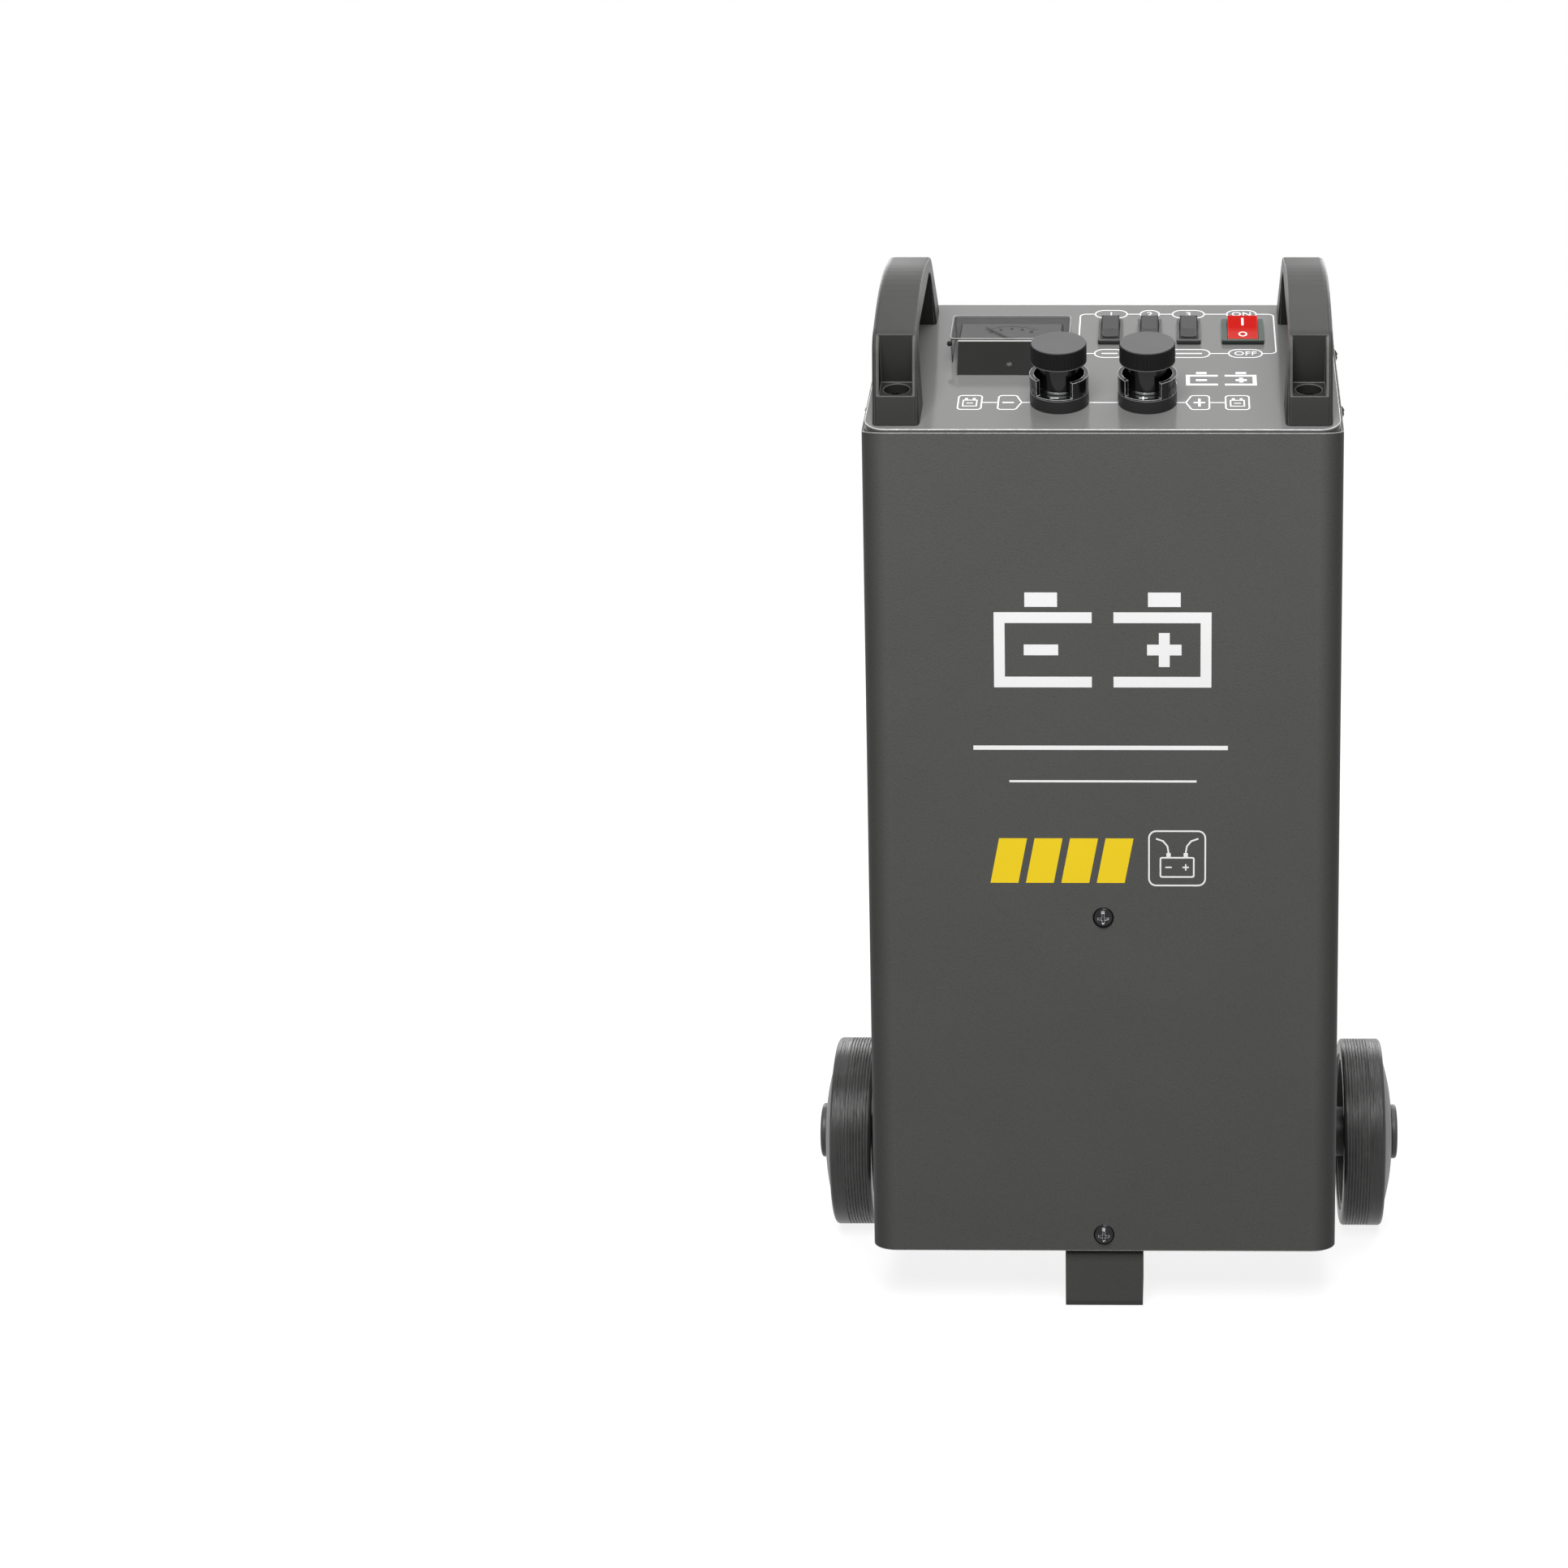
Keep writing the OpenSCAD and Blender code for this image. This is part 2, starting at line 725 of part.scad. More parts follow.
module rear_screws() {
    color("#5a5a5a") in_place() for (side = [-1, 1], z = rear_screw_zs) {
        translate([side * (casing_w / 2 - rear_lip / 2), casing_d + sheet_t, base_z + z]) rotate([-90, 0, 0])
            dome_screw(head_r - 1.5, head_h - 1, screw_r - 0.5, 2 * sheet_t + 3);
    }
}

// Foot

// Places of the foot's screws, on the tray's underside
module foot_screw_places() {
    for (side = [-1, 1]) {
        translate([side * foot_w / 4, foot_front + foot_l / 2, base_z]) children();
    }
}

// Strap bent to a flat-bottomed loop with its ends turned in under the tray
module foot_bracket() {
    r = foot_bend;
    l = foot_l;
    h = base_z;
    t = foot_t;
    in_r = r - t;
    color("#424240") in_place() difference() {
        translate([0, foot_front, 0]) intersection() {
            across(foot_w) difference() {
                polygon(rounded([[0, 0], [l, 0], [l, h], [0, h]], [r, r, r, r]));
                polygon(rounded([[t, t], [l - t, t], [l - t, h - t], [t, h - t]], [in_r, in_r, in_r, in_r]));
            }
            translate([0, l / 2, h / 2]) rotate([90, 0, 0]) linear_extrude(2 * l, center = true)
                round_rect(foot_w, h, 1.5);
        }
        foot_screw_places() translate([0, 0, -foot_t - 1]) cylinder(h = 2 * foot_t, r = screw_r + screw_gap);
    }
}

module foot_screws() {
    color("#5a5a5a") in_place() foot_screw_places() translate([0, 0, -foot_t]) mirror([0, 0, 1])
        dome_screw(head_r - 1, head_h - 0.5, screw_r, foot_t + 8);
}

// Axle and wheels

// Runs children along the axle towards one side: their Z becomes the way out
module on_axle(side) {
    in_place() translate([0, axle_y, axle_z]) rotate([0, side * 90, 0]) children();
}

module axle() {
    color("#9c9c9c") on_axle(1) cylinder(h = 2 * axle_end, r = axle_r, center = true);
}

// Bushes through the casing's sides, each with an upright plate outside
module axle_bushes() {
    plate_w = 2 * axle_back - 3;
    plate_h = 2 * (axle_z - base_z) - 2;
    color("#2b2b2b") for (side = [-1, 1]) {
        on_axle(side) translate([0, 0, casing_w / 2]) difference() {
            union() {
                translate([0, 0, -8]) cylinder(h = 8 + fine, r = bush_r);
                linear_extrude(spacer_in - casing_w / 2) round_rect(plate_h, plate_w, 4);
            }
            translate([0, 0, -9]) cylinder(h = 20, r = axle_r + run_gap);
        }
    }
}

// Upright plates on the tray that carry the axle inside the casing
module axle_brackets() {
    foot = 16;
    front = axle_y - 20;
    l = 28;
    h = axle_z + 14 - tray_top;
    color("#8c8c8a") in_place() for (side = [-1, 1]) {
        translate([side * (casing_w / 2 - 30), 0, 0]) difference() {
            union() {
                translate([-bracket_t / 2, front, tray_top]) cube([bracket_t, l, h]);
                translate([-side * foot / 2 - foot / 2, front, tray_top]) cube([foot, l, bracket_t]);
            }
            translate([0, axle_y, axle_z]) rotate([0, 90, 0])
                cylinder(h = 50, r = axle_r + run_gap, center = true);
        }
    }
}

module axle_spacers() {
    color("#2b2b2b") for (side = [-1, 1]) {
        on_axle(side) translate([0, 0, spacer_in]) difference() {
            cylinder(h = spacer_out - spacer_in, r = axle_r + 4);
            translate([0, 0, -1]) cylinder(h = 30, r = axle_r + run_gap);
        }
    }
}

// Points of a wheel's dome from its rim to the hub cap
dome_points = [for (k = [0:0.125:1])
    [wheel_r - tread_t - k * (wheel_r - tread_t - cap_r + 1), tread_out + 0.5 + (dome_out - 0.5) * sin(90 * k)]];

// Wheel centre: hub, domed disc and rim, hollow and ribbed towards the casing
module wheel(side) {
    rim_r = wheel_r - tread_t;
    hub_in = spacer_out + side_gap;
    bore_r = axle_r + run_gap;
    web = [0, 3];
    color("#3f3f3e") on_axle(side) {
        rotate_extrude($fn = 96) polygon(concat(
            [[bore_r, hub_in], [hub_r, hub_in]],
            [for (i = [8:-1:1]) dome_points[i] - web],
            [[rim_r - 3.5, tread_in + 1], [rim_r, tread_in + 1]],
            dome_points,
            [[bore_r, dome_x]]
        ));
        intersection() {
            rotate_extrude($fn = 96) polygon(concat(
                [[hub_r - 1, tread_in + 6], [rim_r - 2, tread_in + 6]],
                [for (i = [1:8]) dome_points[i] - web / 2]
            ));
            for (i = [0:wheel_ribs - 1]) {
                rotate([0, 0, i * 360 / wheel_ribs]) translate([0, -rib_t / 2, 0]) cube([rim_r, rib_t, far]);
            }
        }
    }
}

module wheel_left() {
    wheel(-1);
}

module wheel_right() {
    wheel(1);
}

// Tread ring with round shoulders and grooves near its inner half
module tread(side) {
    r = wheel_r;
    shoulder = 2.2;
    groove_pitch = tread_w / 14;
    color("#3a3a39") on_axle(side) rotate_extrude($fn = 128) difference() {
        polygon(rounded([
            [r - tread_t, tread_in], [r, tread_in], [r, tread_out], [r - tread_t, tread_out]
        ], [0, shoulder, shoulder, 0]));
        for (i = [0:7]) {
            translate([r - groove_d, tread_in + shoulder + 0.3 + i * groove_pitch]) square([2, groove_w]);
        }
    }
}

module tread_left() {
    tread(-1);
}

module tread_right() {
    tread(1);
}

module axle_caps() {
    color("#3a3a39") for (side = [-1, 1]) {
        on_axle(side) translate([0, 0, cap_in]) rotate_extrude($fn = 96) difference() {
            polygon(rounded([[0, 0], [cap_r, 0], [cap_r, cap_t], [0, cap_t]], [0, 0.4, 1.6, 0]));
            translate([-1, -1]) square([axle_r + 1 + run_gap, axle_end - cap_in + 1 + run_gap]);
        }
    }
}

// Meter

// Puts children on the panel at the meter's middle, Y counted from the panel's front edge
module at_meter() {
    on_panel() translate([-meter_x, 0, 0]) children();
}

// Puts children on the sloped front wall, at its middle, Z square out of the wall
module on_ramp() {
    at_meter() translate([0, meter_u + meter_ramp * zero_place, meter_h * zero_place])
        rotate([ramp_angle, 0, 0]) children();
}

module meter_case() {
    wall = 2;
    back = meter_back - 2 * cover_t;
    ridge = scale_front - 0.4;
    hollow_front = meter_body_u + wall;
    hollow_top = meter_h * (hollow_front - meter_u) / meter_ramp - wall / cos(ramp_angle);
    hollow = meter_deep + hollow_top - wall;
    color("#3a3a38") difference() {
        at_meter() difference() {
            union() {
                across(meter_w) polygon([
                    [meter_u, 0], [back, 0], [back, scale_v(back) - scale_t],
                    [ridge, scale_v(ridge) - scale_t], [ridge, case_edge_v], [ridge - 0.6, meter_h],
                    [meter_u + meter_ramp, meter_h]
                ]);
                translate([-meter_body_w / 2, meter_body_u, -meter_deep])
                    cube([meter_body_w, meter_body_l, meter_deep + fine]);
            }
            translate([-meter_body_w / 2 + wall, hollow_front, -meter_deep + wall])
                cube([meter_body_w - 2 * wall, meter_body_l - 2 * wall, hollow]);
            translate([0, pointer_u, 0]) cylinder(h = far, r = 3.4);
        }
        on_ramp() translate([0, 0, -4]) cylinder(h = 10, r = zero_r + 0.1);
    }
}

// Height of the scale plate's face at distance u from the panel's front edge
function scale_v(u) = meter_h - 1.8 - scale_fall * (u - scale_front) / (scale_back - scale_front);

module meter_scale() {
    color("#8f8f8e") at_meter() difference() {
        across(meter_w - 2) polygon([
            [scale_front, scale_v(scale_front) - scale_t], [scale_back, scale_v(scale_back) - scale_t],
            [scale_back, scale_v(scale_back)], [scale_front, scale_v(scale_front)]
        ]);
        translate([0, pointer_u, 0]) cylinder(h = far, r = 2.2);
    }
}

// Clear cover: a shell over the scale, open below and against the ridge in front
module meter_cover() {
    start = meter_u + meter_ramp + 0.4;
    l = meter_back - start;
    h = meter_h + 0.1 + cover_t;
    color([0.8, 0.85, 0.85, 0.4]) at_meter() translate([0, start + l / 2, 0]) difference() {
        linear_extrude(h) round_rect(cover_w, l, 3);
        translate([-cover_w / 2 + cover_t, -l / 2 - 5, -1])
            cube([cover_w - 2 * cover_t, l + 5 - cover_t, h - cover_t + 1]);
    }
}

module meter_zero_screw() {
    color("#6a6a6a") on_ramp() difference() {
        union() {
            translate([0, 0, -3.6]) cylinder(h = 3.8, r = zero_r);
            intersection() {
                translate([0, 0, -3]) sphere(3.7);
                cylinder(h = 2, r = zero_r);
            }
        }
        translate([-3, -0.25, 0.4]) cube([6, 0.5, 2]);
    }
}

// Pointer: a hub, a tapered needle over the scale and a pivot pin down into the movement
module meter_pointer() {
    needle_t = 0.6;
    color("#d8552a") at_meter() translate([0, pointer_u, pointer_v]) {
        cylinder(h = 0.9, r = 1.8);
        translate([0, 0, -pin_deep]) cylinder(h = pin_deep + fine, r = pin_r);
        rotate([0, 0, pointer_swing / 2]) translate([0, 0, 0.2]) linear_extrude(needle_t)
            polygon([[-0.8, -2], [0.8, -2], [0.35, pointer_l], [-0.35, pointer_l]]);
    }
}

// Magnet and coil frame inside the meter's case
module meter_movement() {
    w = 30;
    l = 22;
    low = -meter_deep + 2.3;
    high = 1.5;
    color("#8c8c8c") at_meter() difference() {
        translate([-w / 2, pointer_u - 8, low]) cube([w, l, high - low]);
        translate([0, pointer_u, low + 4]) cylinder(h = far, r = pin_r + run_gap);
    }
}

// Switches

// Side view of a rocker about its pivot, level
module rocker_outline() {
    intersection() {
        circle(rocker_reach);
        polygon([
            [-rocker_half + 1.7, -rocker_low], [rocker_half - 1.7, -rocker_low], [rocker_half, 3],
            [rocker_half, rocker_end], [0, rocker_valley], [-rocker_half, rocker_end], [-rocker_half, 3]
        ]);
    }
}

// Rocker at rest: its rear end up and its front end pressed
module rocker(x, w) {
    on_panel() translate([x, switch_u, pivot_v]) rotate([rocker_tilt, 0, 0]) {
        across(w) rocker_outline();
        rotate([0, 90, 0]) cylinder(h = w + 2 * trunnion_l, r = trunnion_r, center = true);
    }
}

// Switch case: a bezel on the panel and a hollow box below it, with two terminals
module switch_case(x, w, inner_w) {
    body_w = inner_w + 2 * (side_gap + case_wall);
    color("#2c2f2e") on_panel() translate([x, switch_u, 0]) difference() {
        union() {
            linear_extrude(bezel_h) round_rect(w, bezel_l, 1.2);
            translate([-body_w / 2, -case_half, -case_deep]) cube([body_w, 2 * case_half, case_deep + fine]);
            for (i = [-1, 1]) {
                translate([-2.4, i * 8 - 0.4, -case_deep - 8]) cube([4.8, 0.8, 9]);
            }
        }
        translate([-inner_w / 2 - side_gap, -cavity_half, -9])
            cube([inner_w + 2 * side_gap, 2 * cavity_half, 9 + bezel_h + 1]);
        translate([0, 0, pivot_v]) rotate([0, 90, 0])
            cylinder(h = body_w + 2, r = trunnion_r + run_gap, center = true);
    }
}

module select_case_1() {
    switch_case(switch_x, bezel_w, rocker_w);
}

module select_case_2() {
    switch_case(switch_x + switch_pitch, bezel_w, rocker_w);
}

module select_case_3() {
    switch_case(switch_x + 2 * switch_pitch, bezel_w, rocker_w);
}

module power_case() {
    switch_case(power_x, power_bezel_w, power_rocker_w);
}

module select_rocker_1() {
    color("#303030") rocker(switch_x, rocker_w);
}

module select_rocker_2() {
    color("#303030") rocker(switch_x + switch_pitch, rocker_w);
}

module select_rocker_3() {
    color("#303030") rocker(switch_x + 2 * switch_pitch, rocker_w);
}

module power_rocker() {
    color("#e02a26") rocker(power_x, power_rocker_w);
}

// Binding posts

// Puts children on the panel at one post
module at_post(side) {
    on_panel() translate([side * post_x, post_u, 0]) children();
}

// Insulating skirt with a spigot down through the panel
module post_skirts() {
    color("#3c3c3b") for (side = [-1, 1]) {
        at_post(side) difference() {
            union() {
                cylinder(h = skirt_h, r = post_r);
                translate([0, 0, -spigot_deep]) cylinder(h = spigot_deep + fine, r = spigot_r);
            }
            translate([0, 0, -spigot_deep - 1]) cylinder(h = far, r = stud_r + run_gap);
        }
    }
}

// Collar round the knob's shank, cut away in front where a cable lug goes in
module post_collar(side) {
    reach = 2 * post_r;
    slot = reach * tan(notch_angle / 2);
    color("#1c1c1c") at_post(side) difference() {
        translate([0, 0, skirt_h]) cylinder(h = collar_h - skirt_h, r = post_r);
        translate([0, 0, floor_v]) cylinder(h = far, r = post_r - collar_t);
        translate([0, 0, 0]) cylinder(h = far, r = stud_r + run_gap);
        translate([0, 0, floor_v]) rotate([0, 0, -notch_turn]) linear_extrude(far)
            polygon([[0, 0], [-slot, -reach], [slot, -reach]]);
    }
}

module post_collar_left() {
    post_collar(-1);
}

module post_collar_right() {
    post_collar(1);
}

module post_stud(side) {
    color("#c9a552") at_post(side) translate([0, 0, -24]) cylinder(h = 24 + stud_top, r = stud_r);
}

module post_stud_left() {
    post_stud(-1);
}

module post_stud_right() {
    post_stud(1);
}

// Loose ring under the knob that rises with it and presses on the lug
module clamp_ring(side) {
    color("#c4c4c4") at_post(side) translate([0, 0, ring_v]) difference() {
        cylinder(h = ring_t, r = shank_r - 0.3);
        translate([0, 0, -1]) cylinder(h = 5, r = stud_r + run_gap);
    }
}

module clamp_ring_left() {
    clamp_ring(-1);
}

module clamp_ring_right() {
    clamp_ring(1);
}

// Fluted knob with its shank, bored for the stud
module post_knob(side) {
    flute_r = 0.5;
    edge = 0.8;
    color("#2b2b2b") at_post(side) difference() {
        union() {
            translate([0, 0, shank_v]) cylinder(h = knob_low - shank_v + fine, r = shank_r);
            translate([0, 0, knob_low]) linear_extrude(knob_top - knob_low - edge) difference() {
                circle(knob_r, $fn = 96);
                for (i = [0:flutes - 1]) {
                    rotate([0, 0, i * 360 / flutes]) translate([knob_r + flute_r * 0.55, 0])
                        circle(flute_r, $fn = 24);
                }
            }
            translate([0, 0, knob_top - edge - fine]) cylinder(h = edge + fine, r = knob_r - 0.4, $fn = 96);
        }
        translate([0, 0, shank_v - 1]) cylinder(h = stud_top - shank_v + 1 + 0.5, r = stud_r + run_gap);
    }
}

module post_knob_left() {
    post_knob(-1);
}

module post_knob_right() {
    post_knob(1);
}

module post_nuts() {
    color("#b0b0b0") for (side = [-1, 1]) {
        at_post(side) translate([0, 0, bar_v - side_gap - nut_h]) difference() {
            cylinder(h = nut_h, r = stud_r * 1.85, $fn = 6);
            translate([0, 0, -1]) cylinder(h = far, r = stud_r + run_gap);
        }
    }
}

// Transformer

// Places of the brackets' screws, on the tray
module core_foot_places() {
    for (side = [-1, 1], y = [-1, 1]) {
        translate([side * (core_w - core_tab_w) / 2, core_y + y * (core_d + core_tab_l) / 2, tray_top])
            children();
    }
}

// Places of the long bolts through the core's corners
module core_bolt_places() {
    for (side = [-1, 1], z = [8, core_h - 8]) {
        translate([side * (core_w / 2 - 8), core_y, core_z + z]) rotate([90, 0, 0]) children();
    }
}

module transformer_core() {
    color("#4a4a50") in_place() difference() {
        translate([-core_w / 2, core_y - core_d / 2, core_z]) cube([core_w, core_d, core_h]);
        for (side = [-1, 1]) {
            translate([side * (limb_w + window_w / 2), core_y, core_z + core_h / 2])
                cube([window_w, core_d + 2, window_h], center = true);
        }
        core_bolt_places() cylinder(h = core_d + 2, r = screw_r + screw_gap, center = true);
    }
}

// Square ring round the core's middle limb, from one size to a larger one
module limb_ring(inner, outer, h) {
    translate([0, core_y, core_z + core_h / 2]) linear_extrude(h, center = true) difference() {
        round_rect(2 * (limb_w + outer), core_d + 2 * outer, max(outer, 1));
        square([2 * (limb_w + inner), core_d + 2 * inner], center = true);
    }
}

module winding_bobbin() {
    color("#d8d2c0") in_place() {
        limb_ring(bobbin_gap, coil_in, window_h - 2 * bobbin_gap);
        for (side = [-1, 1]) {
            translate([0, 0, side * (window_h / 2 - bobbin_gap - flange_t / 2)])
                limb_ring(bobbin_gap, coil_out + 0.5, flange_t);
        }
    }
}

module primary_winding() {
    color("#a8562a") in_place() limb_ring(coil_in + bobbin_gap, coil_mid, coil_h);
}

module secondary_winding() {
    color("#b5652f") in_place() limb_ring(coil_mid + bobbin_gap, coil_out, coil_h);
}

// Angle brackets along the core's lower edges, front and back
module core_brackets() {
    t = core_bracket_t;
    gap_w = core_w - 2 * core_tab_w;
    color("#8c8c8a") in_place() difference() {
        union() {
            for (y = [-1, 1]) {
                translate([-core_w / 2, core_y + y * (core_d + t) / 2 - t / 2, tray_top])
                    cube([core_w, t, core_foot + 18]);
            }
            core_foot_places() translate([-core_tab_w / 2, -core_tab_l / 2, 0])
                cube([core_tab_w, core_tab_l, t]);
        }
        core_bolt_places() cylinder(h = 2 * core_d, r = screw_r + screw_gap, center = true);
        core_foot_places() translate([0, 0, -1]) cylinder(h = 10, r = screw_r + screw_gap);
        translate([-gap_w / 2, 0, tray_top + 5]) cube([gap_w, casing_d, far]);
    }
}

module core_bolts() {
    t = core_bracket_t;
    color("#9a9a9a") in_place() {
        core_bolt_places() {
            cylinder(h = core_d + 16, r = screw_r, center = true);
            for (end = [-1, 1]) {
                translate([0, 0, end * (core_d / 2 + t + 2)]) cylinder(h = 4, r = 5, $fn = 6, center = true);
            }
        }
        core_foot_places() {
            translate([0, 0, -8]) cylinder(h = 8 + t + 4, r = screw_r);
            translate([0, 0, t]) cylinder(h = 3.5, r = 4.6, $fn = 6);
        }
    }
}

// Rectifier

// Aluminium angle held by the middle front screw, with the diodes pressed into it
module rectifier_shelf() {
    color("#b8b8b8") in_place() difference() {
        translate([-shelf_w / 2, shelf_y, shelf_low]) union() {
            cube([shelf_w, shelf_t, shelf_h]);
            cube([shelf_w, shelf_d, shelf_t]);
        }
        translate([0, 0, base_z + shelf_z]) rotate([-90, 0, 0]) cylinder(h = 20, r = screw_r + screw_gap);
        diode_places() translate([0, 0, -10]) cylinder(h = 20, r = diode_r);
    }
}

// Places of the diodes on the shelf's upper face
module diode_places() {
    for (i = [-1.5:1:1.5]) {
        translate([i * shelf_w * 0.23, shelf_y + shelf_d * 0.77, shelf_top]) children();
    }
}

module rectifier_diodes() {
    color("#777777") in_place() diode_places() {
        translate([0, 0, -shelf_t - 2]) cylinder(h = shelf_t + 4, r = diode_r);
        translate([0, 0, 1]) cylinder(h = 2.2 * diode_r, r = diode_r * 0.19);
    }
}

module thermal_breaker() {
    color("#2c2c2c") in_place() translate([0, shelf_y + shelf_t + 22, shelf_top]) {
        translate([-15, -9, 0]) cube([30, 18, 16]);
        for (x = [-9, 9]) {
            translate([x, 0, 15]) cylinder(h = 9, r = 2);
        }
    }
}

// Bus bar: an upright strap with its top bent under the panel and bored for the stud
module bus_bar(side) {
    foot_z = shelf_top + side_gap;
    y = slope_point(post_u - 13, 0)[0];
    stop = post_u + 12;
    bend = 3;
    color("#b87333") in_place() difference() {
        translate([side * post_x, 0, 0]) across(bar_w) polygon(rounded([
            [y, foot_z], [y + bar_t, foot_z], [y + bar_t, slope_z(y + bar_t, bar_v)],
            slope_point(stop, bar_v), slope_point(stop, bar_v + bar_t), [y, slope_z(y, bar_v + bar_t)]
        ], [0, 0, bend - bar_t, 0, 0, bend]));
        on_slope() translate([side * post_x, post_u, bar_v - 1]) cylinder(h = 10, r = stud_r + run_gap);
    }
}

module bus_bar_left() {
    bus_bar(-1);
}

module bus_bar_right() {
    bus_bar(1);
}

// Terminal block on the rear panel's inner face, between the two fields of louvres
module terminal_block() {
    w = 42;
    h = 16;
    out = 18;
    lower_top = lower_field + lower_rows * louvre_pitch;
    z = base_z + (lower_top + upper_field) / 2;
    color("#d9d4c4") in_place() translate([0, casing_d, z]) difference() {
        translate([-w / 2, -out, -h / 2]) cube([w, out, h]);
        for (i = [-1.5:1:1.5]) {
            translate([i * w / 4.2, 6 - out, 0]) rotate([90, 0, 0]) cylinder(h = 10, r = h * 0.19);
        }
    }
}

// Gland: a threaded sleeve through the rear panel with a domed hexagon nut outside and a ring inside
module cord_gland() {
    sleeve = gland_bore + 3;
    color("#222222") in_place() translate([-gland_x, casing_d + sheet_t, base_z + gland_z])
        rotate([-90, 0, 0]) difference() {
            union() {
                translate([0, 0, -sheet_t - 8]) cylinder(h = 16, r = sleeve);
                cylinder(h = 5, r = sleeve + 4.5, $fn = 6);
                translate([0, 0, 5]) cylinder(h = 8, r = sleeve + 2.6);
                translate([0, 0, -sheet_t - 5]) cylinder(h = 5, r = sleeve + 4.5, $fn = 6);
            }
            translate([0, 0, -30]) cylinder(h = 60, r = gland_bore);
        }
}

casing_wrap();
base_tray();
rear_panel();
control_panel();
handle_left();
handle_right();
handle_screws();
front_screws();
side_screws();
rear_screws();
foot_bracket();
foot_screws();
axle();
axle_bushes();
axle_brackets();
axle_spacers();
axle_caps();
wheel_left();
wheel_right();
tread_left();
tread_right();
meter_case();
meter_cover();
meter_scale();
meter_pointer();
meter_zero_screw();
meter_movement();
select_case_1();
select_case_2();
select_case_3();
power_case();
select_rocker_1();
select_rocker_2();
select_rocker_3();
power_rocker();
post_skirts();
post_collar_left();
post_collar_right();
post_stud_left();
post_stud_right();
clamp_ring_left();
clamp_ring_right();
post_knob_left();
post_knob_right();
post_nuts();
transformer_core();
winding_bobbin();
primary_winding();
secondary_winding();
core_brackets();
core_bolts();
rectifier_shelf();
rectifier_diodes();
thermal_breaker();
bus_bar_left();
bus_bar_right();
terminal_block();
cord_gland();
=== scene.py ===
"""Dresses the wheeled battery charger: paints, mouldings, printed marks, metal finishes and a studio."""

import json
import math

import bmesh
import bpy
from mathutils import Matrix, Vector


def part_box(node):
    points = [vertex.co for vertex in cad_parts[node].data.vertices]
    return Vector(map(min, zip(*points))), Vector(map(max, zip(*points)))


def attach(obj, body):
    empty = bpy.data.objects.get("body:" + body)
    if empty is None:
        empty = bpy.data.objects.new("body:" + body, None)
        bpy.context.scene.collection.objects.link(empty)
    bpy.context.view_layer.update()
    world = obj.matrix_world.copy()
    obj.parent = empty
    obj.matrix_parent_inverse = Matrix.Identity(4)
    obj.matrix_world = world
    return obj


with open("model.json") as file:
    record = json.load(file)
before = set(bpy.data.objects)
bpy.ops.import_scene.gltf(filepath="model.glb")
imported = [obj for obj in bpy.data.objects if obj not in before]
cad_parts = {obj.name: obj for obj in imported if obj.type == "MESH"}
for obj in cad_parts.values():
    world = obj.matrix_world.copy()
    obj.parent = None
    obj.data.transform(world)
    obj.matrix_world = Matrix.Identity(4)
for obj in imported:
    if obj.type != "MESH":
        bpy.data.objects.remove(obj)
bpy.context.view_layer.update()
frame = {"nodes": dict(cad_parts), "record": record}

bl_info = {
    "name": "Battery Charger Dress",
    "version": (1, 0, 0),
    "blender": (4, 5, 0),
    "location": "3D View > Sidebar > Charger",
    "description": "Paints, prints and lights the wheeled battery charger",
    "category": "Object",
}

MM = 0.001
CAD = frame["nodes"]

# The sloped panel: its front edge, the way up the slope and the way out of it
SLOPE = math.radians(20.6)
PANEL_UP = Vector((0, math.cos(SLOPE), math.sin(SLOPE)))
PANEL_OUT = Vector((0, -math.sin(SLOPE), math.cos(SLOPE)))
PANEL_EDGE = Vector((0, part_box("control_panel")[0].y, 0.5055))
FRONT_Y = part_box("casing_wrap")[0].y

# Places on the panel in millimetres: X across, U up the slope, V out of it
POST_X, POST_U, COLLAR_FLOOR = 24.4, 35.4, 8.5
KNOB_R, KNOB_LOW, KNOB_TOP = 15.4, 25.0, 35.8
BEZEL_H = 2.8
SWITCHES = (2.2, 25.0, 47.8, 79.2)
SWITCH_U, PIVOT_V, ROCKER_TILT = 128.2, -1.6, math.radians(10)
METER_X, METER_H = -54.2, 14.2
COVER_W, COVER_FRONT, COVER_BACK = 68.0, 87.0, 119.9
SCALE_FRONT, SCALE_BACK, SCALE_SINK, POINTER_U = 88.6, 115.9, 1.8, 91.1

# The meter's scale: its radius, the angle of its first mark and the degrees that it spans
SCALE_R, SCALE_FIRST, SCALE_SPAN = 21.0, 132, 84

# How far a print goes down into its face and stands out of it, in millimetres
PRINT_SINK, PRINT_RISE = 0.02, 0.05

# Printed row of signs: its place up the slope, a sign frame's half sizes and the length of its point
ICON_U, ICON_HALF_X, ICON_HALF_U, ICON_TIP = 34.4, 6.5, 9.0, 2.4
BATTERY_ICONS = (-74.2, 74.4)

# Printed frame round the switches, and the labels that break its top and bottom: place across, half width
FRAME_LEFT, FRAME_RIGHT, FRAME_LOW, FRAME_HIGH, FRAME_R = -16.0, 98.0, 100.4, 156.7, 3.4
TOP_PILLS = tuple(zip(SWITCHES, (9.4, 5.6, 9.4, 8.7)))
OFF_X = 80.3
LOW_PILLS = ((SWITCHES[0], 8.6), (SWITCHES[2], 12.0), (OFF_X, 9.6))

